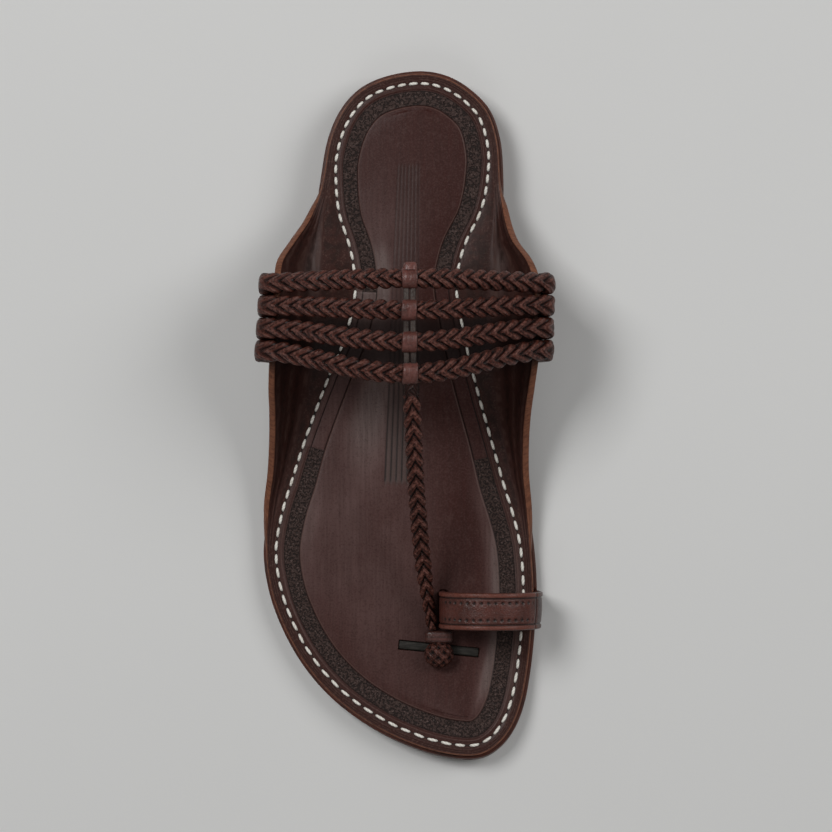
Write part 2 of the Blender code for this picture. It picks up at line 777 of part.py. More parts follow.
def ring_line(y):
    """The toe ring's middle surface in the plane across the foot: from the end that is let in at the
    sole's edge, over the toe, to the end in its slit. Rows of (x, z)."""
    ground = footbed_top(y_at(RING_ALONG))
    turn = RING_THICKNESS / 2 + SEAM_GAP
    corner = np.array([edge_at(y, 1) - EDGE_STEP, ground - FOOTBED_THICKNESS])
    tab = corner + [[-RING_LET_IN, -turn], [-RING_LET_IN / 2, -turn]]
    turns = np.linspace(-math.pi / 2, 0, 6)
    hem = corner + turn * np.stack([np.cos(turns), np.sin(turns)], axis=1)
    outer, inner = corner[0] + turn, RING_SIDE * BALL_WIDTH
    widest = outer + RING_BULGE
    rise = np.linspace(0, 1, 5)[1:]
    side = np.column_stack(
        [outer + RING_BULGE * ease(rise), hem[-1, 1] + (ground + RING_WIDEST - hem[-1, 1]) * rise]
    )
    over = np.linspace(0, math.pi, 21)[1:]
    reach, height = (widest - inner) / 2, RING_HEIGHT - RING_WIDEST
    arch = np.column_stack(
        [inner + reach + reach * np.cos(over), ground + RING_WIDEST + height * np.sin(over)]
    )
    leg = np.array([[inner, ground], [inner, ground - FOOTBED_THICKNESS]])
    return np.concatenate([tab, hem, side, arch, leg])


def make_ring(where, finish):
    """The flat band over the big toe."""
    rows = np.linspace(*ring_span(), 3)
    lines = [ring_line(y) for y in rows]
    points = [np.column_stack([line[:, 0], np.full(len(line), y), line[:, 1]]) for y, line in zip(rows, lines)]
    faces = []
    count = len(lines[0])
    for k in range(len(rows) - 1):
        faces += join_rings(k * count, (k + 1) * count, count, closed=False)
    made = add_object("toe_ring", np.concatenate(points), faces, where, finish)
    solidify(made, RING_THICKNESS, 0)
    round_edges(made, RING_THICKNESS * 0.2, 1)
    apply_modifiers(made)
    shade(made)
    return made


def make_ball(where, finish):
    middle = knot_middle() + [0, 0, SEAM_GAP + KNOT_HEIGHT / 2]
    size = Matrix.Diagonal((KNOT_DIAMETER, KNOT_DIAMETER * 0.96, KNOT_HEIGHT, 1))
    shape = bmesh.new()
    bmesh.ops.create_uvsphere(
        shape, u_segments=20, v_segments=12, radius=0.5, matrix=Matrix.Translation(middle) @ size
    )
    return solid("toe_knot", shape, where, finish)


def make_stem(where):
    """The knot's neck, from inside the ball down through the slot."""
    height = SEAM_GAP + KNOT_HEIGHT / 2 + FOOTBED_THICKNESS
    y = y_at(SLOT_ALONG)
    middle = panel_top(y) - FOOTBED_THICKNESS + height / 2
    place = Matrix.Translation((KNOT_SIDE * BALL_WIDTH, y, middle))
    shape = bmesh.new()
    bmesh.ops.create_cone(
        shape,
        cap_ends=True,
        segments=12,
        radius1=KNOT_STEM / 2,
        radius2=KNOT_STEM / 2,
        depth=height,
        matrix=place,
    )
    return solid("knot_stem", shape, where)


def make_knot(where, finish):
    """The knot that holds the strap: a ball, the band round its neck, and the stem in its slot."""
    ball = make_ball(where, finish)
    band = box("knot_band", KNOT_BAND, Matrix.Translation(knot_band_middle()), where)
    round_edges(band, 0.0012, 2)
    apply_modifiers(band)
    combine(ball, [band, make_stem(where)], "UNION")
    shade(ball)
    return ball


def make_upper(where, finish):
    """The instep cords, their lace and the toe strap, joined where they cross."""
    cords, routes = zip(*[make_cord(number, where, finish) for number in range(CORD_COUNT)])
    lace, last = make_lace(routes, where)
    strap = make_toe_strap(last, where)
    upper = cords[0]
    upper.name = upper.data.name = "upper"
    combine(upper, [*cords[1:], *lace, strap], "UNION")
    shade(upper)
    return upper


def stand_on_origin(pieces):
    """Moves all pieces so that the middle of the sandal's base is the origin."""
    bpy.context.view_layer.update()
    corners = [piece.matrix_world @ Vector(corner) for piece in pieces for corner in piece.bound_box]
    low, high = np.min(corners, axis=0), np.max(corners, axis=0)
    shift = Vector((-(low[0] + high[0]) / 2, -(low[1] + high[1]) / 2, -low[2]))
    for piece in pieces:
        piece.location += shift


def main():
    for old in list(bpy.data.objects):
        bpy.data.objects.remove(old)
    sandal, cutters = collection("kolhapuri_sandal"), collection("cutters")
    sole_leather = material("sole_leather", EDGE_LEATHER, 0.55)
    footbed_leather = material("footbed_leather", LEATHER, 0.5)
    cord_leather = material("cord_leather", CORD_LEATHER, 0.4)
    ring_leather = material("ring_leather", RING_LEATHER, 0.35)
    pieces = [
        make_outsole(sandal, cutters, sole_leather),
        make_heel(sandal, sole_leather),
        make_footbed(sandal, cutters, footbed_leather),
        make_upper(sandal, cord_leather),
        make_ring(sandal, ring_leather),
        make_knot(sandal, cord_leather),
    ]
    stand_on_origin(pieces)


main()
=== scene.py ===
"""The looks of a kolhapuri sandal for the right foot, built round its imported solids.

It is laid out as an add-on whose operators each make one piece or group of like pieces. X points to the
big toe's side, the toes point to -Y and Z is up. Lengths are in metres.
"""

import math
from collections import namedtuple

import bmesh
import bpy
import numpy as np
from bpy.props import FloatProperty, FloatVectorProperty, IntProperty, PointerProperty
from bpy.types import Operator, Panel, PropertyGroup
from mathutils import Matrix, Vector


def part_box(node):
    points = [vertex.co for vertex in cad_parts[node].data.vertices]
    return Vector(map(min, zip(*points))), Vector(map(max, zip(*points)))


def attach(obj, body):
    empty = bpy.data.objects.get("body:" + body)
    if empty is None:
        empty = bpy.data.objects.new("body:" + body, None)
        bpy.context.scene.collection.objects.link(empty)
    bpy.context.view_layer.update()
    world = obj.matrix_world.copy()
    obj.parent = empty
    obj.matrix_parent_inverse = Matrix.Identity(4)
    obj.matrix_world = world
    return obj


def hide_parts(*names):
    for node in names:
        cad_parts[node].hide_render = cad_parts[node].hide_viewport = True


bl_info = {
    "name": "Kolhapuri Sandal",
    "version": (1, 0, 0),
    "blender": (4, 5, 0),
    "location": "View3D > Sidebar > Sandal",
    "description": "Dresses the solids of a kolhapuri sandal in leather, braid and stitching",
    "category": "Object",
}

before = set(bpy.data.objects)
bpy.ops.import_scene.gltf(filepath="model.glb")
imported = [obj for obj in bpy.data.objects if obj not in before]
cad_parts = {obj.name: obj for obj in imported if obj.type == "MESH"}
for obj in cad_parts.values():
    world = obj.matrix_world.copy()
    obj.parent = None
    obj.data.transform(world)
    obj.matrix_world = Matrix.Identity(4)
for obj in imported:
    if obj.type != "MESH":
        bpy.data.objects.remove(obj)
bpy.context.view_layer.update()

# The outsole's plan. along is a share of the length from the heel's back, and the two sides are shares
# of the ball width from the middle of the heel.
Outline = namedtuple("Outline", "along lateral medial")
HEEL_BACK_SIDE = 0.030
TOE_TIP_SIDE = 0.205
OUTLINE = [
    Outline(0.025, 0.190, 0.211),
    Outline(0.057, 0.263, 0.2885),
    Outline(0.100, 0.309, 0.3265),
    Outline(0.150, 0.332, 0.337),
    Outline(0.210, 0.352, 0.336),
    Outline(0.280, 0.355, 0.318),
    Outline(0.360, 0.368, 0.308),
    Outline(0.440, 0.401, 0.321),
    Outline(0.520, 0.449, 0.356),
    Outline(0.580, 0.491, 0.393),
    Outline(0.640, 0.532, 0.429),
    Outline(0.700, 0.552, 0.451),
    Outline(0.760, 0.531, 0.459),
    Outline(0.820, 0.474, 0.450),
    Outline(0.880, 0.379, 0.433),
    Outline(0.920, 0.281, 0.413),
    Outline(0.960, 0.132, 0.371),
    Outline(0.985, -0.012, 0.316),
]

# The ears. The reaches are shares of each ear's reach past the footbed's plain edge, and the height is
# a share of the ear height.
Ear = namedtuple("Ear", "along lateral medial height")
EARS = [
    Ear(0.00, 0.00, 0.00, 0.00),
    Ear(0.15, 0.00, 0.00, 0.00),
    Ear(0.17, 0.02, 0.01, 0.01),
    Ear(0.19, 0.09, 0.06, 0.04),
    Ear(0.22, 0.28, 0.16, 0.18),
    Ear(0.25, 0.65, 0.38, 0.43),
    Ear(0.28, 0.97, 0.76, 0.76),
    Ear(0.31, 1.00, 0.98, 0.94),
    Ear(0.36, 0.97, 1.00, 1.00),
    Ear(0.42, 0.89, 0.93, 0.97),
    Ear(0.46, 0.78, 0.76, 0.85),
    Ear(0.50, 0.59, 0.55, 0.66),
    Ear(0.54, 0.41, 0.36, 0.46),
    Ear(0.58, 0.25, 0.19, 0.27),
    Ear(0.63, 0.13, 0.07, 0.10),
    Ear(0.70, 0.00, 0.00, 0.00),
    Ear(1.00, 0.00, 0.00, 0.00),
]

# How far the stitch line turns in at the waist, as shares of the pinch depth.
Pinch = namedtuple("Pinch", "along lateral medial")
PINCHES = [
    Pinch(0.00, 0.00, 0.00),
    Pinch(0.13, 0.00, 0.00),
    Pinch(0.20, 0.34, 0.26),
    Pinch(0.27, 0.85, 0.80),
    Pinch(0.31, 1.00, 0.92),
    Pinch(0.37, 0.83, 0.68),
    Pinch(0.44, 0.42, 0.42),
    Pinch(0.52, 0.15, 0.23),
    Pinch(0.60, 0.06, 0.16),
    Pinch(0.69, 0.00, 0.00),
    Pinch(1.00, 0.00, 0.00),
]

# The footbed's surface from the stitch line inwards: the distance, the height where the band is
# stamped, and the height at the waist, where only two creases mark the band. Millimetres.
Station = namedtuple("Station", "inset stamped plain")
STATIONS = [
    Station(-1.1, 0.00, 0.00),
    Station(-0.7, -0.12, -0.12),
    Station(-0.3, -0.26, -0.26),
    Station(0.3, -0.26, -0.26),
    Station(0.7, -0.12, -0.12),
    Station(1.1, 0.00, 0.00),
    Station(1.7, 0.05, 0.02),
    Station(2.0, 0.02, 0.00),
    Station(2.25, -0.30, 0.00),
    Station(2.5, -0.32, 0.00),
    Station(2.8, -0.34, -0.04),
    Station(3.1, -0.34, -0.28),
    Station(3.4, -0.34, -0.04),
    Station(3.7, -0.34, 0.00),
    Station(4.6, -0.34, 0.00),
    Station(5.5, -0.34, 0.02),
    Station(6.4, -0.34, 0.03),
    Station(7.3, -0.34, 0.02),
    Station(8.0, -0.34, 0.00),
    Station(8.3, -0.34, -0.10),
    Station(8.5, -0.30, -0.28),
    Station(8.7, -0.05, -0.10),
    Station(8.9, 0.16, 0.14),
    Station(9.2, 0.29, 0.28),
    Station(9.6, 0.37, 0.37),
    Station(10.4, 0.44, 0.44),
]


def length(name, description, default):
    """A size that a user can change, in metres."""
    return FloatProperty(name=name, description=description, default=default, unit="LENGTH", precision=5)


def share(name, description, default):
    """A share that a user can change."""
    return FloatProperty(name=name, description=description, default=default, subtype="FACTOR")


def angle(name, description, degrees):
    """An angle that a user can change, given here in degrees."""
    turn = math.radians(degrees)
    return FloatProperty(name=name, description=description, default=turn, subtype="ANGLE")


def colour(name, description, default):
    """A colour that a user can change."""
    return FloatVectorProperty(
        name=name, description=description, default=default, subtype="COLOR", size=3, min=0, max=1
    )


class SoleSizes(PropertyGroup):
    """Sizes of the outsole, the heel and the footbed."""

    length: length("Length", "Length of the outsole", 0.272)
    ball_width: length("Ball width", "Width of the outsole at the ball of the foot", 0.1077)
    outsole: length("Outsole", "Thickness of the outsole", 0.005)
    footbed: length("Footbed", "Thickness of the footbed", 0.0026)
    heel: length("Heel", "Height of the stacked heel", 0.009)
    heel_inset: length("Heel inset", "How far the heel stands in from the outsole's edge", 0.0012)
    toe_spring: length("Toe spring", "Rise of the toe tip", 0.005)
    gap: length("Gap", "Gap between pieces that meet", 0.0003)
    edge_step: length("Edge step", "How far the outsole stands out past the footbed", 0.0013)
    breast: share("Heel breast", "Where the heel ends, a share of the length from its back", 0.27)
    waist_end: share("Waist end", "Where the forefoot meets the floor, a share of the length", 0.53)
    spring_start: share("Spring start", "Where the toe starts to rise, a share of the length", 0.84)
    stitch_margin: length("Stitch margin", "From the outsole's edge to the stitch line", 0.0053)
    pinch: length("Pinch", "How far the stitch line turns in at the waist", 0.0113)
    panel: length("Panel rise", "Rise of the smooth middle over the margin", 0.0006)
    ear_root: length("Ear root", "How far inside the outsole's edge the ears start to bend", 0.004)
    ear_height: length("Ear height", "Height of the ears over the footbed", 0.030)
    lateral_reach: length("Lateral reach", "How far the little toe's side ear stands out", 0.0121)
    medial_reach: length("Medial reach", "How far the big toe's side ear stands out", 0.0168)
    rim_angle: angle("Rim angle", "The steepest slope that an ear comes to at its rim", 78)


class CordSizes(PropertyGroup):
    """Sizes of the instep cords, the lace, the toe strap and the knot."""

    count: IntProperty(name="Cords", description="Number of instep cords", default=4, min=1)
    width: length("Cord width", "Width of an instep cord", 0.0080)
    thickness: length("Cord thickness", "Thickness of an instep cord", 0.0052)
    clearance: length("Clearance", "Between neighbouring cords at the ears", 0.0006)
    rise: length("Rise", "Height of the band's middle over the ears", 0.0225)
    leave: angle("Leaving angle", "Slope at which the cords leave the ears", 42)
    let_in: length("Let in", "Length of a cord's end between outsole and footbed", 0.005)
    end: length("End thickness", "Thickness of a cord's flattened end", 0.0016)
    full_share: share("Full share", "Where on the ear a cord has its full thickness", 0.5)
    pitch: length("Pitch", "Length of one chevron of the instep braids", 0.0048)
    relief: share("Relief", "Depth between strands, a share of the half thickness", 0.42)
    lean: share("Lean", "Slant of the chevrons, a share of the pitch", 1.05)
    band_along: share("Band", "Middle of the band, a share of the length from the heel", 0.3625)
    pull: length("Pull", "How far the lace draws the band to the toes", 0.0043)
    spread: length("Spread", "How far the lace parts neighbouring cords", 0.0034)
    lace_side: share("Lace side", "The lace's place, a share of the ball width", 0.019)
    wrap_length: length("Wrap length", "Width of the flat leather round each cord", 0.0058)
    wrap_skin: length("Wrap skin", "Thickness of the flat leather round each cord", 0.0006)
    strap_width: length("Strap width", "Width of the toe strap", 0.0066)
    strap_end: length("Strap end", "Width of the toe strap at the knot", 0.0044)
    strap_thickness: length("Strap thickness", "Thickness of the toe strap", 0.0046)
    strap_pitch: length("Strap pitch", "Length of one chevron of the toe strap", 0.0061)
    strap_lean: share("Strap lean", "Slant of the toe strap's chevrons, a share of the pitch", 0.78)
    lace_end: length("Lace end", "From the last cord's middle to the toe strap's braid", 0.0080)


class RingSizes(PropertyGroup):
    """Sizes of the toe ring and of the slot."""

    width: length("Ring width", "Width of the toe ring's leather", 0.0146)
    thickness: length("Ring thickness", "Thickness of the toe ring's leather", 0.002)
    along: share("Along", "The ring's middle, a share of the length from the heel", 0.7825)
    side: share("Side", "The leg beside the strap, a share of the ball width", 0.114)
    height: length("Ring height", "Height of the ring's middle over the footbed", 0.025)
    widest: length("Widest", "Height over the footbed at which the ring is widest", 0.0085)
    bulge: length("Bulge", "How far the ring bulges past its foot", 0.0012)
    let_in: length("Let in", "Length of the outer end under the footbed", 0.011)
    knot_along: share("Knot", "The knot's place, a share of the length from the heel", 0.848)
    knot_side: share("Knot side", "The knot's place, a share of the ball width", 0.101)
    slot_length: length("Slot length", "Length of the slot between the toes", 0.032)
    slot_width: length("Slot width", "Width of the slot between the toes", 0.0039)
    slot_along: share("Slot", "The slot's place, a share of the length from the heel", 0.8405)
    slot_side: share("Slot side", "The slot's place, a share of the ball width", 0.098)
    slot_angle: angle("Slot angle", "How far the slot turns towards the toes", -5.6)


class Colours(PropertyGroup):
    """Colours of the leathers, the thread and the floor."""

    # footbed is the grey of the painted sheen, light reflected off the leather; footbed_warm is the
    # leather's own colour
    footbed: colour("Footbed", "Waxy bloom on the footbed's leather", (0.118, 0.0665, 0.0610))
    footbed_warm: colour("Footbed, warm", "Oiled leather of the footbed", (0.046, 0.0134, 0.0106))
    band: colour("Band", "Stamped band along the stitch line", (0.050, 0.0305, 0.0260))
    rim: colour("Rim", "Cut edge of the footbed", (0.205, 0.082, 0.046))
    outsole: colour("Outsole", "Edge of the outsole", (0.090, 0.024, 0.013))
    sole_under: colour("Underside", "Underside of the outsole", (0.150, 0.075, 0.045))
    cord: colour("Cord", "Braided strands", (0.058, 0.0150, 0.0098))
    # the crowns' colour: rubbed leather that also carries a painted highlight
    cord_worn_and_lit: colour("Cord, worn", "Rubbed crowns of the strands", (0.185, 0.076, 0.058))
    wrap: colour("Wrap", "Polished flat leather of the lace", (0.150, 0.053, 0.043))
    ring: colour("Ring", "Polished leather of the toe ring", (0.088, 0.0250, 0.0175))
    # the slot's colour is dark leather and partly painted shade of the slot
    slot: colour("Slot", "Leather strip in the slot", (0.018, 0.016, 0.013))
    thread: colour("Thread", "Waxed thread of the stitches", (0.86, 0.83, 0.76))
    floor: colour("Floor", "The plain floor", (0.715, 0.715, 0.705))


def sole():
    return bpy.context.scene.sandal_sole


def cords():
    return bpy.context.scene.sandal_cords


def toe():
    return bpy.context.scene.sandal_ring


def colours():
    return bpy.context.scene.sandal_colours


# Curves and sections, as in the solids


def ease(share):
    """0 to 1 with level ends."""
    share = np.clip(share, 0, 1)
    return share * share * (3 - 2 * share)


def smooth(knots, values, where):
    """The smooth curve through a table's rows, read at where."""
    knots, values = np.asarray(knots, float), np.asarray(values, float)
    steps = np.diff(knots)
    rates = np.diff(values) / steps
    inner = (steps[1:] * rates[:-1] + steps[:-1] * rates[1:]) / (steps[1:] + steps[:-1])
    slopes = np.concatenate([rates[:1], inner, rates[-1:]])
    k = np.clip(np.searchsorted(knots, where) - 1, 0, len(steps) - 1)
    h = steps[k]
    u = np.clip((where - knots[k]) / h, 0, 1)
    bend = slopes[k] * u * (1 - u) ** 2 - slopes[k + 1] * u * u * (1 - u)
    return values[k] + (values[k + 1] - values[k]) * ease(u) + h * bend


def column(table, name, along):
    """A table's column at these shares of the length, never below zero."""
    rows = [getattr(row, name) for row in table]
    return np.maximum(smooth([row.along for row in table], rows, along), 0)


def bezier(start, first, last, end, shares):
    """Points on the cubic curve with these ends and handles."""
    u = np.asarray(shares, float)[:, None]
    v = 1 - u
    return v**3 * start + 3 * v * v * u * first + 3 * v * u * u * last + u**3 * end


def along_of(y):
    """The share of the length from the heel's back."""
    return 0.5 - y / sole().length


def y_at(along):
    """The y at this share of the length from the heel's back."""
    return (0.5 - along) * sole().length


def outsole_top(y):
    """The height of the outsole's top, with the heel, the arch and the toe spring."""
    size = sole()
    along = along_of(y)
    heel = 1 - ease((along - size.breast) / (size.waist_end - size.breast))
    spring = np.clip((along - size.spring_start) / (1 - size.spring_start), 0, 1) ** 2
    return size.heel * heel + size.toe_spring * spring + size.outsole


def footbed_top(y):
    """The height of the footbed's top at its margin."""
    return outsole_top(y) + sole().gap + sole().footbed


def panel_top(y):
    """The height of the footbed's smooth middle."""
    return footbed_top(y) + sole().panel


def outline(angles):
    """The outsole's edge in plan, one (x, y) for each angle: 0 is the heel's back and pi the toe tip,
    by the lateral side."""
    turns = [math.acos(1 - 2 * row.along) for row in OUTLINE]
    knots = [0, *turns, math.pi, *[2 * math.pi - turn for turn in reversed(turns)]]
    sides = [HEEL_BACK_SIDE, *[-row.lateral for row in OUTLINE]]
    sides += [TOE_TIP_SIDE, *[row.medial for row in reversed(OUTLINE)]]
    knots = np.array([knot + turn * 2 * math.pi for turn in (-1, 0, 1) for knot in knots])
    x = smooth(knots, sides * 3, angles) * sole().ball_width
    return np.stack([x, np.cos(angles) * sole().length / 2], axis=1)


def edge_at(y, sign):
    """The outsole's edge at this y, on the lateral (-1) or medial (1) side."""
    turn = math.acos(np.clip(2 * y / sole().length, -1, 1))
    angle = turn if sign < 0 else 2 * math.pi - turn
    return float(outline(np.array([angle]))[0, 0])


def around(count):
    """Even angles once round a closed section."""
    return np.arange(count) * 2 * math.pi / count


def squared(turn, side, top):
    """The cosine and sine of turn, drawn towards a square's corners by powers below 1."""
    across, up = np.cos(turn), np.sin(turn)
    return np.sign(across) * np.abs(across) ** side, np.sign(up) * np.abs(up) ** top


def path_marks(points):
    """The distance along a path up to each of its points."""
    return np.r_[0, np.cumsum(np.linalg.norm(np.diff(points, axis=0), axis=1))]


def on_lateral(points):
    """Whether each point of a closed plan, counted from the heel's back, is on the lateral side."""
    return np.arange(len(points)) <= len(points) // 2


def outward(points):
    """The unit normals of a closed plan, pointing out of it."""
    tangent = np.roll(points, -1, axis=0) - np.roll(points, 1, axis=0)
    tangent /= np.linalg.norm(tangent, axis=1)[:, None]
    return np.stack([tangent[:, 1], -tangent[:, 0]], axis=1)


def stitch_inset(points):
    """How far the stitch line lies inside each point of the outsole's edge."""
    along = along_of(points[:, 1])
    lateral, medial = (column(PINCHES, side, along) for side in ("lateral", "medial"))
    return sole().stitch_margin + sole().pinch * np.where(on_lateral(points), lateral, medial)


def ear_size(y, sign):
    """Bend point, reach and rise of the ear's section at this y on one side."""
    size = sole()
    along = along_of(y)
    side, reach = ("lateral", size.lateral_reach) if sign < 0 else ("medial", size.medial_reach)
    out = float(column(EARS, side, along)) * reach
    rise = float(column(EARS, "height", along)) * size.ear_height
    return edge_at(y, sign) - sign * size.ear_root, size.ear_root - size.edge_step + out, rise


def ear_section(out, up, shares):
    """The inner face of an ear in its own section: offsets (out, up) from the bend, and the unit
    normals that point away from the foot, at shares of the way from the bend to the rim."""
    steepest = sole().rim_angle
    angle = steepest * math.tanh(2 * math.atan2(up, out) / steepest)
    reach = math.hypot(out, up)
    start, end = np.zeros(2), np.array([out, up])
    first = np.array([0.42 * reach * min(1, out / reach + 0.1), 0])
    last = end - 0.36 * reach * np.array([math.cos(angle), math.sin(angle)])
    place = bezier(start, first, last, end, shares)
    slope = bezier(start, first, last, end, np.asarray(shares) + 0.001) - place
    slope /= np.linalg.norm(slope, axis=1)[:, None]
    return place, np.stack([slope[:, 1], -slope[:, 0]], axis=1)


# Meshes


def row_shift():
    """From the drawing's frame to the packed sandal's, whose base is centred on the origin."""
    low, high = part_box("toe_knot")
    side = (low[0] + high[0]) / 2 - toe().knot_side * sole().ball_width
    return np.array([side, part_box("outsole")[1][1] - sole().length / 2, 0])


def add_piece(name, vertices, faces, finish, values=None, sharp=50):
    """An object from arrays of vertices and faces, with named values for its material to read."""
    mesh = bpy.data.meshes.new(name)
    mesh.from_pydata((np.asarray(vertices, float) + row_shift()).tolist(), [], faces)
    for label, numbers in (values or {}).items():
        mesh.attributes.new(label, "FLOAT", "POINT").data.foreach_set("value", np.ravel(numbers))
    mesh.materials.append(finish)
    mesh.shade_smooth()
    mesh.set_sharp_from_angle(angle=math.radians(sharp))
    made = bpy.data.objects.new(name, mesh)
    bpy.context.scene.collection.objects.link(made)
    return made


def seat(made, node):
    """Attaches the piece to the root body and hides the CAD node that it stands for, if any."""
    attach(made, "root")
    if node:
        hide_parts(node)


def ring_faces(rings, count):
    """Faces between rings of vertices that are numbered ring by ring."""
    i = np.arange(count)
    j = (i + 1) % count
    faces = []
    for low in range(0, (rings - 1) * count, count):
        high = low + count
        faces += np.stack([high + i, high + j, low + j, low + i], axis=1).tolist()
    return faces


def turned_over(faces):
    """The same faces, looking the other way."""
    return [face[::-1] for face in faces]


def tube_faces(rows, count):
    """Faces of a tube of rings, closed at both ends."""
    last = (rows - 1) * count
    ends = [list(range(count))[::-1], list(range(last, last + count))]
    return turned_over(ring_faces(rows, count)) + ends


def fill_across(first, count):
    """Faces that close a ring from its lateral to its medial side, facing up."""
    half = count // 2
    faces = [[first, first + 1, first + count - 1]]
    for i in range(1, half - 1):
        faces.append([first + i, first + i + 1, first + count - i - 1, first + count - i])
    faces.append([first + half - 1, first + half, first + half + 1])
    return faces


def cut(made, cutters):
    """Cuts these objects from the piece and removes them."""
    for cutter in cutters:
        boolean = made.modifiers.new(cutter.name, "BOOLEAN")
        boolean.operation = "DIFFERENCE"
        boolean.object = cutter
    bpy.context.view_layer.update()
    graph = bpy.context.evaluated_depsgraph_get()
    old = made.data
    made.data = bpy.data.meshes.new_from_object(made.evaluated_get(graph))
    made.modifiers.clear()
    bpy.data.meshes.remove(old)
    made.data.name = made.name
    for cutter in cutters:
        bpy.data.objects.remove(cutter)


def face_outwards(made):
    """Turns all of the piece's faces to point out of it."""
    shape = bmesh.new()
    shape.from_mesh(made.data)
    bmesh.ops.recalc_face_normals(shape, faces=shape.faces)
    shape.to_mesh(made.data)
    shape.free()


def box_cutter(name, size, middle, turn, finish):
    """A block of this size, turned about its upright axis."""
    shape = bmesh.new()
    matrix = Matrix.Translation(middle) @ Matrix.Rotation(turn, 4, "Z") @ Matrix.Diagonal((*size, 1))
    bmesh.ops.create_cube(shape, size=1, matrix=matrix)
    vertices = [tuple(vertex.co) for vertex in shape.verts]
    faces = [[vertex.index for vertex in face.verts] for face in shape.faces]
    shape.free()
    return add_piece(name, vertices, faces, finish)


def pocket_cutter(name, low_y, high_y, inner_x, outer_x, depth, finish):
    """A block that lowers the outsole's top between two edges given as functions of y."""
    rings = []
    for y in np.linspace(low_y, high_y, 9):
        floor, roof = outsole_top(y) - depth, outsole_top(y) + depth
        low, high = sorted((inner_x(y), outer_x(y)))
        rings.append([(low, y, floor), (high, y, floor), (high, y, roof), (low, y, roof)])
    return add_piece(name, np.concatenate(rings), turned_over(tube_faces(len(rings), 4)), finish)


# Materials


class Finish:
    """A material under construction. Sizes of its patterns are in metres."""

    def __init__(self, name, **settings):
        self.material = bpy.data.materials.new(name)
        self.material.use_nodes = True
        self.nodes = self.material.node_tree.nodes
        self.shader = self.nodes["Principled BSDF"]
        for socket, value in settings.items():
            label = socket.replace("_", " ").title().replace("Ior", "IOR")
            self.shader.inputs[label].default_value = value

    def put(self, socket, value):
        """Links or sets an input."""
        if isinstance(value, bpy.types.NodeSocket):
            self.material.node_tree.links.new(value, socket)
        elif socket.type == "RGBA":
            socket.default_value = (*value[:3], 1)
        else:
            socket.default_value = value

    def surface(self, **sockets):
        for name, value in sockets.items():
            self.put(self.shader.inputs[name.replace("_", " ").title()], value)

    def place(self, stretch):
        """Object coordinates, drawn out along the axes by these factors."""
        source = self.nodes.new("ShaderNodeTexCoord").outputs["Object"]
        mapping = self.nodes.new("ShaderNodeMapping")
        mapping.inputs["Scale"].default_value = [1 / factor for factor in stretch]
        self.put(mapping.inputs["Vector"], source)
        return mapping.outputs["Vector"]

    def noise(self, size, detail=3, stretch=(1, 1, 1)):
        node = self.nodes.new("ShaderNodeTexNoise")
        node.inputs["Scale"].default_value = 1 / size
        node.inputs["Detail"].default_value = detail
        self.put(node.inputs["Vector"], self.place(stretch))
        return node.outputs["Fac"]

    def cells(self, size):
        """The distance to the middle of the nearest random cell."""
        node = self.nodes.new("ShaderNodeTexVoronoi")
        node.inputs["Scale"].default_value = 1 / size
        self.put(node.inputs["Vector"], self.place((1, 1, 1)))
        return node.outputs["Distance"]

    def value(self, name):
        node = self.nodes.new("ShaderNodeAttribute")
        node.attribute_name = name
        return node.outputs["Fac"]

    def math(self, operation, first, second=0.0, clamp=False):
        node = self.nodes.new("ShaderNodeMath")
        node.operation = operation
        node.use_clamp = clamp
        self.put(node.inputs[0], first)
        self.put(node.inputs[1], second)
        return node.outputs["Value"]

    def span(self, value, low, high, start=0.0, end=1.0):
        """The value's way from low to high, as start to end."""
        node = self.nodes.new("ShaderNodeMapRange")
        node.interpolation_type = "SMOOTHSTEP"
        for socket, number in zip(node.inputs[1:5], (low, high, start, end)):
            socket.default_value = number
        self.put(node.inputs[0], value)
        return node.outputs["Result"]

    def spots(self, size, low, high, start=0.0, end=1.0, detail=3, stretch=(1, 1, 1)):
        """Noise of this size, spread from low to high as start to end."""
        return self.span(self.noise(size, detail, stretch), low, high, start, end)

    def line(self, value, middle, width):
        """1 where the value is at the middle, falling to 0 at half the width."""
        distance = self.math("ABSOLUTE", self.math("SUBTRACT", value, middle))
        return self.span(distance, 0, width / 2, 1, 0)

    def both(self, first, second):
        return self.math("MULTIPLY", first, second)

    def mix(self, share, first, second):
        node = self.nodes.new("ShaderNodeMix")
        node.data_type = "RGBA"
        self.put(node.inputs[0], share)
        self.put(node.inputs[6], first)
        self.put(node.inputs[7], second)
        return node.outputs[2]

    def paint(self, colour, *layers):
        """The colour under layers of (share, colour)."""
        for share, tint in layers:
            colour = self.mix(share, colour, tint)
        return colour

    def bump(self, *layers):
        """A normal from layers of (height from 0 to 1, depth in metres)."""
        normal = None
        for height, depth in layers:
            node = self.nodes.new("ShaderNodeBump")
            node.inputs["Distance"].default_value = depth
            self.put(node.inputs["Height"], height)
            if normal:
                self.put(node.inputs["Normal"], normal)
            normal = node.outputs["Normal"]
        self.surface(normal=normal)


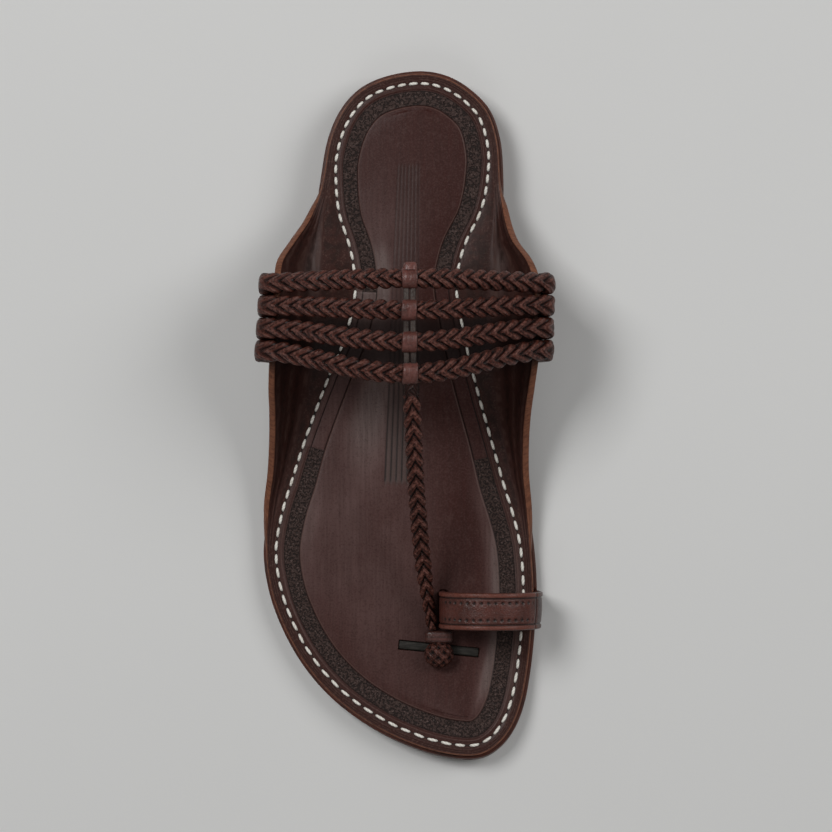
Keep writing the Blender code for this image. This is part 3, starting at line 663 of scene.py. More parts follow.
def footbed_field(look, sheen, streaks):
    """The oiled middle of the footbed, paler where sheen of the light is painted on it."""
    tint = colours()
    sheen_patches = look.both(sheen, look.spots(0.022, 0.25, 0.7, 0.45, 1, detail=4))
    grain = look.noise(0.0007)
    return look.paint(
        tint.footbed,
        (look.math("SUBTRACT", 1.0, sheen_patches, True), tint.footbed_warm),
        # painted highlight where the painted sheen is strongest
        (look.span(sheen, 0.9, 1.9, 0, 0.75), (0.170, 0.128, 0.118)),
        (look.span(streaks, 0.3, 0.72, 0, 0.35), (0.030, 0.0115, 0.009)),
        (look.spots(0.0016, 0.5, 0.8, 0, 0.35, 4, (1, 3, 1)), (0.085, 0.045, 0.039)),
        (look.span(grain, 0.46, 0.7, 0, 0.3), (0.090, 0.050, 0.045)),
        (look.span(grain, 0.5, 0.3, 0, 0.35), (0.024, 0.0085, 0.007)),
        (look.both(look.value("panel"), 0.55), (0.084, 0.063, 0.056)),
    )


def footbed_margin(look, sheen, inset, ear):
    """The margin outside the stitches and the ears' inner faces, with the lines drawn along them."""
    speckle = look.spots(0.00075, 0.52, 0.68, detail=2)
    sheen_streaks = look.spots(0.0011, 0.3, 0.7, 0.45, 1, 4, (1, 9, 9))
    uneven = look.math("ADD", inset, look.both(look.noise(0.006, 2), 0.5))
    lines = look.math("SINE", look.both(uneven, 5.2))
    broken = look.spots(0.003, 0.35, 0.6)
    return look.paint(
        (0.042, 0.0150, 0.0115),
        (look.both(speckle, look.span(ear, 0.25, 0.05, 0, 0.8)), (0.085, 0.042, 0.033)),
        # painted sheen in streaks on the ears' inner faces
        (look.both(sheen_streaks, look.both(sheen, ear)), (0.120, 0.085, 0.078)),
        (look.both(look.span(lines, 0.0, 0.9, 0, 0.55), broken), (0.013, 0.0065, 0.005)),
        (look.both(look.span(lines, -0.3, -1, 0, 0.40), broken), (0.110, 0.060, 0.048)),
    )


def footbed_leather():
    """Oiled brown leather, stamped along the stitch line and lined down the middle. inset is the
    distance from the stitch line in millimetres, below zero outside it."""
    tint = colours()
    look = Finish("oiled_leather", specular_ior_level=0.16, coat_weight=0.04, coat_roughness=0.35)
    # the last of these values is the painted sheen, light reflected off the footbed
    names = ("inset", "band", "groove", "rim", "ear", "stitch", "bloom")
    inset, band, groove, rim, ear, stitch, sheen = (look.value(name) for name in names)
    streaks = look.noise(0.0011, 4, (1, 22, 1))
    field = footbed_field(look, sheen, streaks)
    stipple = look.noise(0.00085, 2)
    stamped = look.paint(
        tint.band,
        (look.span(stipple, 0.46, 0.58, 0, 0.85), (0.012, 0.008, 0.007)),
        (look.spots(0.0006, 0.56, 0.70, 0, 0.6, 2), (0.150, 0.104, 0.092)),
    )
    stamp = look.both(band, look.both(look.span(inset, 2.6, 3.0), look.span(inset, 8.7, 8.3)))
    creases = look.math("MAXIMUM", look.line(inset, 3.05, 0.7), look.line(inset, 8.5, 0.8))
    # painted highlights along the raised ridge inside the stitches and along the raised field's edge
    outer_ridge_highlight = look.both(look.line(inset, 1.85, 0.5), 0.5)
    ridge_highlights = look.math("MAXIMUM", outer_ridge_highlight, look.line(inset, 9.1, 0.6))
    phase = look.math("ABSOLUTE", look.math("SUBTRACT", look.math("FRACT", stitch), 0.5))
    holes = look.both(look.line(phase, 0.36, 0.12), look.line(inset, 0, 1.8))
    raw = look.mix(look.spots(0.0004, 0.35, 0.7, stretch=(6, 6, 1)), tint.rim, (0.110, 0.042, 0.025))
    colour = look.paint(
        footbed_margin(look, sheen, inset, ear),
        (look.both(look.span(inset, -1.3, 2.2), look.span(band, 0, 1, 1, 0.35)), field),
        (look.span(inset, 8.2, 8.7), field),
        (stamp, stamped),
        (look.both(creases, 0.65), (0.010, 0.006, 0.005)),
        (look.both(ridge_highlights, 0.5), (0.14, 0.085, 0.070)),
        (look.both(groove, 0.9), (0.012, 0.009, 0.008)),
        (look.both(look.line(inset, 0, 1.6), 0.5), (0.016, 0.010, 0.008)),
        (look.both(holes, 0.9), (0.003, 0.002, 0.002)),
        (look.both(rim, look.span(ear, 0, 0.6, 0.85, 1)), raw),
        # painted shadow of the cords on the footbed
        (look.value("shade"), (0.007, 0.0035, 0.003)),
    )
    rough = look.math("ADD", look.spots(0.012, 0.3, 0.7, 0.40, 0.52), look.both(stamp, 0.22))
    look.surface(base_color=colour, roughness=rough)
    edge_lines = look.span(look.math("SINE", look.both(inset, 9.0)), -1, 1)
    at_edge = look.both(look.span(inset, -1.6, -1.9), look.span(inset, -4.4, -3.9))
    look.bump(
        (look.cells(0.00055), 0.00004),
        (streaks, 0.00007),
        (look.both(look.span(stipple, 0.6, 0.45), stamp), 0.0003),
        (look.both(edge_lines, at_edge), 0.00010),
        (look.noise(0.0025), 0.00008),
    )
    return look.material


def sole_leather():
    """Thick leather with a burnished edge and a worn underside."""
    tint = colours()
    look = Finish("burnished_leather", specular_ior_level=0.25, coat_weight=0.05, coat_roughness=0.4)
    fibres = look.noise(0.0009, 4, (8, 8, 1))
    under = look.value("under")
    edge = look.paint(
        tint.outsole,
        (look.span(fibres, 0.3, 0.75), (0.045, 0.016, 0.011)),
        (look.both(look.value("layer"), 0.75), (0.012, 0.006, 0.005)),
    )
    base = look.paint(
        tint.sole_under,
        (look.spots(0.018, 0.42, 0.68, detail=5), (0.075, 0.036, 0.023)),
        (look.spots(0.0007, 0.5, 0.75, 0, 0.5), (0.035, 0.018, 0.012)),
    )
    look.surface(base_color=look.mix(under, edge, base), roughness=look.span(under, 0, 1, 0.45, 0.78))
    look.bump((fibres, 0.00012), (look.cells(0.0006), 0.00004), (look.noise(0.006, 4), 0.00015))
    return look.material


def cord_leather():
    """Soft leather strands, with painted shade between them and crowns that are rubbed and carry a
    painted highlight.
    """
    tint = colours()
    look = Finish("braided_leather", specular_ior_level=0.2, coat_weight=0.02, coat_roughness=0.3)
    valley = look.value("valley")
    fold = look.math("SINE", look.both(look.value("strand"), 6 * math.pi))
    # rubbed crowns with a painted highlight
    rubbed_and_lit = look.both(look.span(valley, 0.45, 0.1), look.spots(0.0011, 0.42, 0.62, 0, 0.7))
    strand = look.paint(
        tint.cord,
        (look.spots(0.005, 0.35, 0.7, detail=2), (0.092, 0.027, 0.018)),
        (look.span(fold, 0.2, -0.8, 0, 0.75), (0.022, 0.007, 0.005)),
        (look.spots(0.0007, 0.47, 0.7, 0, 0.7), (0.018, 0.006, 0.0045)),
        (rubbed_and_lit, tint.cord_worn_and_lit),
        # painted shade in the valleys between the strands
        (look.span(valley, 0.35, 0.95, 0, 0.94), (0.0055, 0.0025, 0.002)),
    )
    look.surface(base_color=strand, roughness=look.spots(0.002, 0.3, 0.7, 0.32, 0.48))
    look.bump((look.span(fold, -1, 1), 0.00022), (look.noise(0.0007, 4), 0.00026))
    return look.material


def polished_leather(name, base, light, gloss=1.0):
    """Thin polished leather for the wraps and the toe ring, with a painted highlight along its beads."""
    look = Finish(name, specular_ior_level=0.33 * gloss, coat_weight=0.14 * gloss, coat_roughness=0.25)
    colour = look.paint(
        base,
        (look.spots(0.006, 0.35, 0.7), light),
        # painted highlight along the ring's beads
        (look.both(look.value("bead"), 0.9), (0.150, 0.046, 0.031)),
        (look.spots(0.0010, 0.45, 0.75, 0, 0.55, 4), (0.030, 0.011, 0.009)),
        (look.spots(0.0006, 0.55, 0.75, 0, 0.3), (0.200, 0.110, 0.090)),
        (look.both(look.value("groove"), 0.95), (0.008, 0.004, 0.003)),
    )
    look.surface(base_color=colour, roughness=look.spots(0.003, 0.3, 0.7, 0.30, 0.42))
    grain = (look.noise(0.0006), 0.00012), (look.noise(0.0014), 0.00012)
    look.bump((look.cells(0.00045), 0.00008), *grain)
    return look.material


def waxed_thread():
    """White thread, a little soiled, with painted shade between its plies."""
    look = Finish("waxed_thread", roughness=0.5)
    colour = look.paint(
        colours().thread,
        (look.spots(0.003, 0.45, 0.75, 0, 0.35, 4), (0.42, 0.36, 0.28)),
        (look.both(look.value("valley"), 0.3), (0.30, 0.25, 0.20)),
    )
    look.surface(base_color=colour)
    look.bump((look.noise(0.0003, 2), 0.00006))
    return look.material


def slot_leather():
    """The almost black leather of the slot's strip, dark partly as painted shade in the slot."""
    look = Finish("slot_leather", roughness=0.6, specular_ior_level=0.25)
    grain = look.noise(0.0006, 4, (6, 1, 1))
    colour = look.mix(look.span(grain, 0.35, 0.7), colours().slot, (0.036, 0.032, 0.027))
    look.surface(base_color=colour)
    look.bump((grain, 0.00015))
    return look.material


def floor_paint():
    """The floor's plain matt grey."""
    look = Finish("floor", roughness=0.85, specular_ior_level=0.2)
    cloud = look.span(look.noise(0.25, 2), 0.35, 0.65)
    floor = tuple(colours().floor)
    look.surface(base_color=look.mix(cloud, floor, tuple(0.985 * part for part in floor)))
    look.bump((look.noise(0.0008, 2), 0.00002))
    return look.material


# Outsole and heel

# The outsole's edge from its top to its underside: how far it lies inside the outline, in millimetres,
# its depth in fifths of the thickness, and how dark the seam between two layers makes it.
EdgeRow = namedtuple("EdgeRow", "inset depth seam")
SOLE_EDGE = [
    EdgeRow(2.5, 0.0, 0),
    EdgeRow(0.75, 0.0, 0),
    EdgeRow(0.35, 0.10, 0),
    EdgeRow(0.10, 0.35, 0),
    EdgeRow(0.0, 0.75, 0),
    EdgeRow(0.0, 2.25, 0),
    EdgeRow(0.05, 2.40, 0.6),
    EdgeRow(0.18, 2.50, 1),
    EdgeRow(0.05, 2.60, 0.6),
    EdgeRow(0.0, 2.75, 0),
    EdgeRow(0.0, 4.25, 0),
    EdgeRow(0.10, 4.65, 0),
    EdgeRow(0.35, 4.90, 0),
    EdgeRow(0.75, 5.0, 0),
    EdgeRow(2.5, 5.0, 0),
]


SOLE_POINTS = 480  # round the outsole
UNDER_DEPTH = 4.8  # rows deeper than this belong to the underside
HEEL_POINTS = 200  # round the heel's curved side
BREAST_POINTS = 42  # and across its breast


def lean_down(y):
    """The direction into the outsole from its top, which tips with the arch and the toe spring."""
    slope = (outsole_top(y + 1e-4) - outsole_top(y - 1e-4)) / 2e-4
    down = np.stack([np.zeros_like(slope), slope, -np.ones_like(slope)], axis=1)
    return down / np.linalg.norm(down, axis=1)[:, None]


def make_outsole():
    """The outsole's layers, with pockets for the ends of the cords and of the toe ring."""
    size, cord = sole(), cords()
    plan = outline(around(SOLE_POINTS))
    normals = outward(plan)
    count = len(plan)
    rings, layer, under = [], [], []
    for row in SOLE_EDGE:
        flat = plan - normals * row.inset / 1000
        top = np.column_stack([flat, outsole_top(flat[:, 1])])
        rings.append(top + lean_down(flat[:, 1]) * row.depth / 5 * size.outsole)
        layer.append(np.full(count, row.seam))
        under.append(np.full(count, float(row.depth > UNDER_DEPTH)))
    faces = fill_across(0, count) + ring_faces(len(rings), count)
    faces += turned_over(fill_across((len(rings) - 1) * count, count))
    finish = sole_leather()
    values = {"layer": np.concatenate(layer), "under": np.concatenate(under)}
    made = add_piece("outsole_layers", np.concatenate(rings), faces, finish, values)
    half = cord.count * (cord.width + cord.clearance) / 2
    middle = y_at(cord.band_along)
    low, high = ring_span()
    cord_reach, ring_reach = size.ear_root + cord.let_in, size.edge_step + toe().let_in
    pockets = [
        ("lateral_pocket", -1, middle - half, middle + half, cord_reach, cord.end),
        ("medial_pocket", 1, middle - half, middle + half, cord_reach, cord.end),
        ("ring_pocket", 1, low - size.gap, high + size.gap, ring_reach, toe().thickness),
    ]
    cutters = []
    for name, sign, start, end, reach, depth in pockets:

        def inner(y, sign=sign, reach=reach):
            return edge_at(y, sign) - sign * (reach + size.gap)

        def outer(y, sign=sign):
            return edge_at(y, sign) + sign * size.ear_root

        cutters.append(pocket_cutter(name, start, end, inner, outer, depth + size.gap, finish))
    cut(made, cutters)
    seat(made, "outsole")


def make_heel():
    """Three layers of leather under the back of the sole, with a straight breast."""
    size = sole()
    breast = math.acos(1 - 2 * size.breast)
    curve = outline(np.linspace(-breast, breast, HEEL_POINTS))
    front = np.linspace(curve[-1], curve[0], BREAST_POINTS)[1:-1]
    plan = np.concatenate([curve, front])
    normals = -outward(plan)
    back = HEEL_POINTS // 2
    if np.dot(normals[back], plan[back] - plan.mean(axis=0)) < 0:
        normals = -normals
    height = size.heel - size.gap
    # Rows of the distance in from the heel's side in millimetres, the level as a share of the height,
    # and how dark the seam between two layers makes it.
    profile = [(0.4, 1.0, 0), (0.1, 0.985, 0), (0.0, 0.955, 0)]
    for seam in (2 / 3, 1 / 3):
        profile += [(0.0, seam + 0.03, 0), (0.05, seam + 0.012, 0.6), (0.2, seam, 1)]
        profile += [(0.05, seam - 0.012, 0.6), (0.0, seam - 0.03, 0)]
    profile += [(0.0, 0.10, 0), (0.12, 0.04, 0), (0.4, 0.01, 0), (0.9, 0.0, 0)]
    rings, layer, under = [], [], []
    for inset, level, seam in profile:
        flat = plan - normals * (size.heel_inset + inset / 1000)
        rings.append(np.column_stack([flat, np.full(len(flat), level * height)]))
        layer.append(np.full(len(flat), seam))
        under.append(np.full(len(flat), float(level < 0.02)))
    faces = turned_over(tube_faces(len(rings), len(plan)))
    values = {"layer": np.concatenate(layer), "under": np.concatenate(under)}
    finish = bpy.data.materials["burnished_leather"]
    made = add_piece("heel_stack", np.concatenate(rings), faces, finish, values)
    face_outwards(made)
    seat(made, "heel_lift")


# Footbed

STITCH_LENGTH = 0.00462  # from one stitch to the next at the heel
BAND_STARTS = 0.317  # where the heel's stamped band ends and the forefoot's begin, shares of the length
LATERAL_BAND_STARTS = 0.537
MEDIAL_BAND_STARTS = 0.552
BAND_STEP = 0.0009  # half the length over which the stamping starts and ends, shares of the length
BAND_WIDENING = 0.085  # how much wider the stamped band is on the forefoot
PANEL_STARTS = 0.132  # the lined panel down the middle, shares of the length
PANEL_ENDS = 0.6015
PANEL_RUN = (0.135, 0.60)  # it moves aside and widens between these
PANEL_MIDDLE = -0.0009  # its middle line at the heel
PANEL_DRIFT = -0.0033  # and how far that moves to the little toe's side on the way to its end
PANEL_HALF = 0.0053  # half its width at the heel
PANEL_SPREAD = 0.0025  # and how much that grows on the same way
PANEL_BORDER = 0.0012  # plain leather outside its last groove
GROOVE_HALF = 0.00036  # half the width of its grooves
CROWN = 0.00055  # rise of the footbed's middle over its border
CROWN_LOSS = 0.00018  # less of it under the toes
FIELD_SIDE = 16  # points from the border to the panel
FIELD_FINE = 61  # and across the panel
SIDE_GROOVES = 3  # on each side of its middle groove
# Painted shadow of the cords on the footbed, where it lies under them
SHADE_STARTS = 0.345  # the footbed is dark under the cords, shares of the length
SHADE_ENDS = 0.452
SHADE = 0.78
STITCH_HALF = 0.395  # half a stitch's length, a share of the way from one stitch to the next
STITCH_WIDTH = 0.00060  # half the thread's width
THREAD_TWIST = 4.6  # turn of the thread's plies in half a stitch, in radians
EAR_SHARES = (0.0, 0.05, 0.11, 0.18, 0.26, 0.34, 0.43, 0.52, 0.61, 0.70, 0.79, 0.87, 0.94, 1.0)
# The ears' cut edge: its depth from the inner face and how far it stands proud, in millimetres.
RIM = [(0.0, 0.15), (0.12, 0.42), (0.45, 0.56), (1.3, 0.60), (2.15, 0.56), (2.48, 0.42), (2.6, 0.15)]
# Spots of painted sheen on the footbed, standing in for light reflected off it: how strong, where along
# and across it, and how far they reach.
PaintedSheen = namedtuple("PaintedSheen", "strength along long across wide")
PAINTED_SHEENS = [
    PaintedSheen(1.5, 0.31, 0.07, 0.06, 0.13),
    PaintedSheen(1.0, 0.49, 0.07, 0.25, 0.20),
    PaintedSheen(0.7, 0.66, 0.10, 0.00, 0.06),
    PaintedSheen(1.7, 0.74, 0.11, 1.00, 0.035),
    PaintedSheen(1.7, 0.875, 0.05, 1.00, 0.06),
]


def footbed_angles():
    """The angles of the footbed's rows, closer together where the stamped band ends."""
    even = np.linspace(0, math.pi, 361)
    steps = [
        math.acos(1 - 2 * (start + step))
        for start in (BAND_STARTS, LATERAL_BAND_STARTS, MEDIAL_BAND_STARTS)
        for step in (-BAND_STEP, BAND_STEP)
    ]
    half = np.unique(np.concatenate([even, steps]))
    return np.concatenate([half, 2 * math.pi - half[-2:0:-1]])


def stamped_share(plan):
    """1 where the band along the stitch line is stamped, 0 at the waist."""
    along = along_of(plan[:, 1])
    starts = np.where(on_lateral(plan), LATERAL_BAND_STARTS, MEDIAL_BAND_STARTS)
    return ((along < BAND_STARTS) | (along > starts)).astype(float)


def stitch_runs(plan):
    """The number of stitches up to each point of the stitch line, and for each side the line's points,
    these numbers and how many stitches there are. Both sides are counted from the heel's back."""
    line = plan - outward(plan) * stitch_inset(plan)[:, None]
    half = len(plan) // 2
    runs = np.zeros(len(plan))
    sides = []
    lateral, medial = np.arange(half + 1), np.r_[0, np.arange(len(plan) - 1, half - 1, -1)]
    for order, at_waist, at_forefoot in ((lateral, 0.0006, 0.0004), (medial, 0.0009, 0.0)):
        along = along_of(line[order[1:], 1])
        waist, forefoot = ease((along - 0.13) / 0.12), ease((along - 0.62) / 0.2)
        pitch = STITCH_LENGTH + at_waist * waist + at_forefoot * forefoot
        steps = np.linalg.norm(np.diff(line[order], axis=0), axis=1)
        marks = np.r_[0, np.cumsum(steps / pitch)]
        count = round(marks[-1])
        runs[order] = marks / marks[-1] * count
        sides.append((line[order], runs[order], count))
    return runs, sides


def edge_rings(plan):
    """The footbed's margin and ears: rings over the inner face, the cut edge and the outer face, and
    how far each column stands up as an ear, from 0 to 1."""
    size = sole()
    columns, turned = [], []
    for i, ((x, y), normal) in enumerate(zip(plan, outward(plan))):
        sign = -1 if i <= len(plan) // 2 else 1
        _, out, up = ear_size(y, sign)
        turn = float(ease(8 * up / size.ear_height))
        direction = normal * (1 - turn) + np.array([sign, 0]) * turn
        direction /= np.linalg.norm(direction)
        last = 1 - 0.0006 / math.hypot(out, up)
        place, away = ear_section(out, up, np.array(EAR_SHARES) * last)
        along = np.array([-away[-1][1], away[-1][0]])
        rim = [place[-1] + away[-1] * depth / 1000 + along * proud / 1000 for depth, proud in RIM]
        section = np.concatenate([place, rim, (place + away * size.footbed)[::-1]])
        flat = np.array([x, y]) + direction * (section[:, :1] - size.ear_root)
        columns.append(np.column_stack([flat, footbed_top(flat[:, 1]) + section[:, 1]]))
        turned.append(turn)
    return list(np.array(columns).transpose(1, 0, 2)), np.array(turned)


def panel_profile(x, y, centre, half):
    """The lined panel down the middle: its height in metres, its share and its grooves' share."""
    along = along_of(y)
    ends = ease((along - PANEL_STARTS) / 0.012) * ease((PANEL_ENDS - along) / 0.006)
    inside = ease((half + 0.0004 - np.abs(x - centre)) / 0.0006) * ends
    spacing = half / SIDE_GROOVES
    offset = (x - centre) / spacing
    near = np.abs(offset - np.clip(np.round(offset), -SIDE_GROOVES, SIDE_GROOVES)) * spacing
    groove = np.exp(-((near / GROOVE_HALF) ** 2)) * ends
    strong = ease((along - 0.28) / 0.30)
    depth = 0.00006 + 0.00020 * strong
    ridge = 0.00006 * inside * (1 - np.exp(-((near / 0.0006) ** 2)))
    dark = groove * (0.25 + 0.75 * strong) + 0.12 * inside * (1 - strong)
    return ridge - depth * groove, inside * (0.15 + 0.85 * strong), dark


def field_bloom(along, across):
    """Where the footbed carries painted sheen, the grey of light reflected off it. across is the share
    of the way from its lateral edge.
    """

    def spot(value, middle, reach):
        return np.exp(-(((value - middle) / reach) ** 2))

    # how strong the painted sheen is along the footbed
    sheen_share = spot(along, 0.66, 0.24) + 0.75 * spot(along, 0.26, 0.095)
    sheen_share = np.minimum(sheen_share + 0.35 * spot(along, 0.45, 0.10), 1) * (1 - 0.7 * spot(along, 0, 0.06))
    bloom = sheen_share * spot(across, 0.28, 0.36)
    for sheen_spot in PAINTED_SHEENS:
        there = spot(along, sheen_spot.along, sheen_spot.long) * spot(across, sheen_spot.across, sheen_spot.wide)
        bloom = bloom + sheen_spot.strength * there
    return bloom


def make_field(rim_line):
    """The smooth middle of the footbed, row by row between the two sides of the innermost ring: its
    points, and the panel's share, its grooves' share and the painted sheen at each."""
    half_count = len(rim_line) // 2
    turn, straight = PANEL_RUN
    points, panel, groove, bloom = [], [], [], []
    for i in range(1, half_count):
        start, end = rim_line[i], rim_line[-i]
        span = end[0] - start[0]
        along = along_of((start[1] + end[1]) / 2)
        share = np.clip((along - turn) / (straight - turn), 0, 1)
        centre = PANEL_MIDDLE + PANEL_DRIFT * share
        width = PANEL_HALF + PANEL_SPREAD * share
        low = np.clip(centre - width, start[0] + 0.2 * span, start[0] + 0.45 * span)
        high = np.clip(centre + width, end[0] - 0.45 * span, end[0] - 0.2 * span)
        lateral = np.linspace(start[0], low, FIELD_SIDE)[1:-1]
        medial = np.linspace(high, end[0], FIELD_SIDE)[1:-1]
        x = np.concatenate([lateral, np.linspace(low, high, FIELD_FINE), medial])
        across = (x - start[0]) / span
        y = start[1] + (end[1] - start[1]) * across
        rise, inside, lines = panel_profile(x, y, centre, width - PANEL_BORDER)
        crown = 1 - np.abs(2 * across - 1) ** 2.5
        crown = crown * (CROWN - CROWN_LOSS * ease((along_of(y) - 0.74) / 0.05))
        z = footbed_top(y) + STATIONS[-1].stamped / 1000 + crown + rise
        points.append(np.column_stack([x, y, z]))
        panel.append(inside)
        groove.append(lines)
        bloom.append(field_bloom(along, across))
    return np.array(points), np.ravel(panel), np.ravel(groove), np.ravel(bloom)


def field_faces(first, rows, columns, count):
    """Faces between the field's rows and the innermost ring, which is numbered from 0 to count."""
    half = count // 2
    starts = [first + row * columns for row in range(rows)]
    lines = [[i, *range(start, start + columns), count - i] for i, start in enumerate(starts, 1)]
    faces = [[0, lines[0][j], lines[0][j + 1]] for j in range(columns + 1)]
    for above, below in zip(lines, lines[1:]):
        faces += [[above[j], below[j], below[j + 1], above[j + 1]] for j in range(columns + 1)]
    return faces + [[lines[-1][j], half, lines[-1][j + 1]] for j in range(columns + 1)]


def footbed_cutters(finish):
    """Blocks for the slot between the toes and for the slit that the ring's inner leg goes through."""
    size, ring = sole(), toe()
    through = 4 * size.footbed
    slot = (ring.slot_length, ring.slot_width, through)
    slit = (ring.thickness + 2 * size.gap, ring.width + 2 * size.gap, through)
    cutters = []
    for name, block, along, side, turn in (
        ("slot_cutter", slot, ring.slot_along, ring.slot_side, ring.slot_angle),
        ("ring_slit", slit, ring.along, ring.side, 0),
    ):
        middle = (side * size.ball_width, y_at(along), footbed_top(y_at(along)))
        cutters.append(box_cutter(name, block, middle, turn, finish))
    return cutters


def make_footbed():
    """The footbed with its stamped band, raised middle and ears, the slot and the ring's slit."""
    plan = outline(footbed_angles())
    count = len(plan)
    normals = outward(plan)
    margin = stitch_inset(plan)
    stamped = stamped_share(plan)
    runs, _ = stitch_runs(plan)
    wider = 1 + BAND_WIDENING * ease((along_of(plan[:, 1]) - 0.52) / 0.08)
    rings = []
    names = ("inset", "band", "groove", "rim", "bloom", "ear", "stitch", "panel")
    values = {name: [] for name in names}

    def add_ring(points, **numbers):
        rings.append(points)
        for name, column in values.items():
            column.append(np.broadcast_to(numbers.get(name, 0.0), len(points)))

    for station in reversed(STATIONS):
        wide = wider if station.inset > 0 else 1
        flat = plan - normals * (margin + station.inset / 1000 * wide)[:, None]
        height = station.plain + (station.stamped - station.plain) * stamped
        points = np.column_stack([flat, footbed_top(flat[:, 1]) + height / 1000])
        crease = (1 - stamped) * (station.plain < -0.2)
        # painted sheen along the footbed's border
        bloom = field_bloom(along_of(flat[:, 1]), np.where(on_lateral(plan), 0.03, 1.0))
        add_ring(points, inset=station.inset, band=stamped, groove=crease, bloom=bloom, stitch=runs)
    outer, turned = edge_rings(plan)
    rows = len(EAR_SHARES)
    for k, ring in enumerate(outer):
        share = EAR_SHARES[k] if k < rows else 1
        # painted sheen on the ears' inner faces by the heel
        sheen_share = np.exp(-(((along_of(ring[:, 1]) - 0.285) / 0.040) ** 2 + ((share - 0.20) / 0.20) ** 2))
        add_ring(
            ring,
            inset=-1.35 - 3.2 * share,
            band=stamped,
            rim=float(rows <= k < rows + len(RIM)),
            bloom=sheen_share * (k < rows),
            ear=turned * ease(share / 0.2),
            stitch=runs,
        )
    field, panel, lines, glow = make_field(rings[0])
    faces = ring_faces(len(rings), count)
    faces += turned_over(fill_across((len(rings) - 1) * count, count))
    faces += field_faces(len(rings) * count, len(field), field.shape[1], count)
    add_ring(field.reshape(-1, 3), inset=12.0, groove=lines, panel=panel, bloom=glow)
    vertices = np.concatenate(rings)
    values = {name: np.concatenate(column) for name, column in values.items()}
    along = along_of(vertices[:, 1])
    # painted shadow of the cords on the footbed
    values["shade"] = SHADE * ease((along - SHADE_STARTS) / 0.025) * ease((SHADE_ENDS - along) / 0.04)
    finish = footbed_leather()
    made = add_piece("footbed_top", vertices, faces, finish, values, sharp=60)
    cut(made, footbed_cutters(finish))
    seat(made, "footbed")


def make_slot_strip():
    """The dark leather strip that lies in the slot between the toes, below the footbed's surface; its
    darkness is partly painted shade of the slot.
    """
    size, ring = sole(), toe()
    rows, across = 60, 14
    side, top = squared(around(across), 0.4, 0.5)
    u = np.linspace(-1, 1, rows)[:, None] * (ring.slot_length / 2 - 0.00025)
    v = side * (ring.slot_width / 2 - 0.0002)
    w = top * 0.0011
    sag = -0.00025 + 0.00015 * np.sin(u * 420) * np.cos(u * 173)
    c, s = math.cos(ring.slot_angle), math.sin(ring.slot_angle)
    x = ring.slot_side * size.ball_width + u * c - v * s
    y = y_at(ring.slot_along) + u * s + v * c
    z = panel_top(y) - 0.0013 + w + sag
    points = np.stack([x, y, z], axis=2).reshape(-1, 3)
    made = add_piece("slot_strip", points, tube_faces(rows, across), slot_leather())
    seat(made, None)


def make_stitches():
    """Every stitch round the footbed, each a short run of twisted thread that dips into its holes."""
    _, sides = stitch_runs(outline(footbed_angles()))
    rows, across = 15, 10
    s = np.linspace(-1, 1, rows)
    turn = around(across)
    twist = np.cos(2 * (turn[None, :] - s[:, None] * THREAD_TWIST))
    plump = 1 + 0.07 * twist
    wide = STITCH_WIDTH * np.clip(1 - np.abs(s) ** 2.6, 0.04, 1) ** 0.6
    tall = wide * 0.80
    dip = 0.00014 - 0.00075 * np.abs(s) ** 5
    vertices, faces = [], []
    chance = np.random.default_rng(7)
    for line, marks, count in sides:
        for number in range(count):
            middle = number + 0.5 + chance.uniform(-0.015, 0.015)
            half = STITCH_HALF * chance.uniform(0.95, 1.04)
            path = np.stack([np.interp(middle + s * half, marks, line[:, k]) for k in range(2)], axis=1)
            tangent = path[-1] - path[0]
            tangent /= np.linalg.norm(tangent)
            aside = np.array([-tangent[1], tangent[0]])
            sway = chance.uniform(-0.00012, 0.00012)
            offset = wide[:, None] * np.cos(turn) * plump + sway * s[:, None]
            flat = path[:, None, :] + aside * offset[..., None]
            z = (footbed_top(path[:, 1]) + dip)[:, None] + tall[:, None] * np.sin(turn) * plump
            first = len(vertices) * rows * across
            vertices.append(np.concatenate([flat, z[..., None]], axis=2).reshape(-1, 3))
            faces += [[first + v for v in face] for face in tube_faces(rows, across)]
    # painted shade between the thread's plies
    values = {"valley": np.tile(np.clip(-twist, 0, 1).ravel(), len(vertices))}
    made = add_piece("stitching", np.concatenate(vertices), faces, waxed_thread(), values, sharp=80)
    seat(made, None)


# Instep cords, lace and toe strap


class Route:
    """A smooth strip through space: its centre line and its left and right edges, read by the distance
    along the centre."""

    def __init__(self, centre, left, right):
        self.centre, self.left, self.right = centre, left - centre, right - centre
        self.marks = path_marks(centre)
        self.length = self.marks[-1]
        tangent = np.gradient(centre, self.marks, axis=0)
        up = np.cross(tangent, left - right)
        self.up = up / np.linalg.norm(up, axis=1)[:, None]

    def read(self, rows, distance):
        return np.stack([np.interp(distance, self.marks, rows[:, i]) for i in range(3)], axis=-1)

    def place(self, distance, beside, rise):
        """Points beside the centre line, as shares of the way to its right (1) or left (-1) edge, and
        raised from the strip."""
        right = np.clip(beside, 0, None)[..., None] * self.read(self.right, distance)
        left = np.clip(-beside, 0, None)[..., None] * self.read(self.left, distance)
        up = rise[..., None] * self.read(self.up, distance)
        return self.read(self.centre, distance) + right + left + up


def strip_route(centre, width, axis):
    """A route of this width, level along the axis."""
    half = np.asarray(axis, float) * np.reshape(width, (-1, 1)) / 2
    return Route(centre, centre - half, centre + half)


def strand_profile(turns, width=1.0):
    """A rounded strand for each whole turn, 0 in the valleys and 1 on the crowns."""
    share = turns - np.floor(turns)
    return np.clip(1 - np.abs((2 * share - 1) / width) ** 2, 0, 1) ** 0.7


BRAID_ROWS = 16  # rings of points in each chevron
BRAID_COLUMNS = 44  # points round a braid
FAMILY_LAG = 0.2  # how far the left strands lie behind the right ones, in chevrons


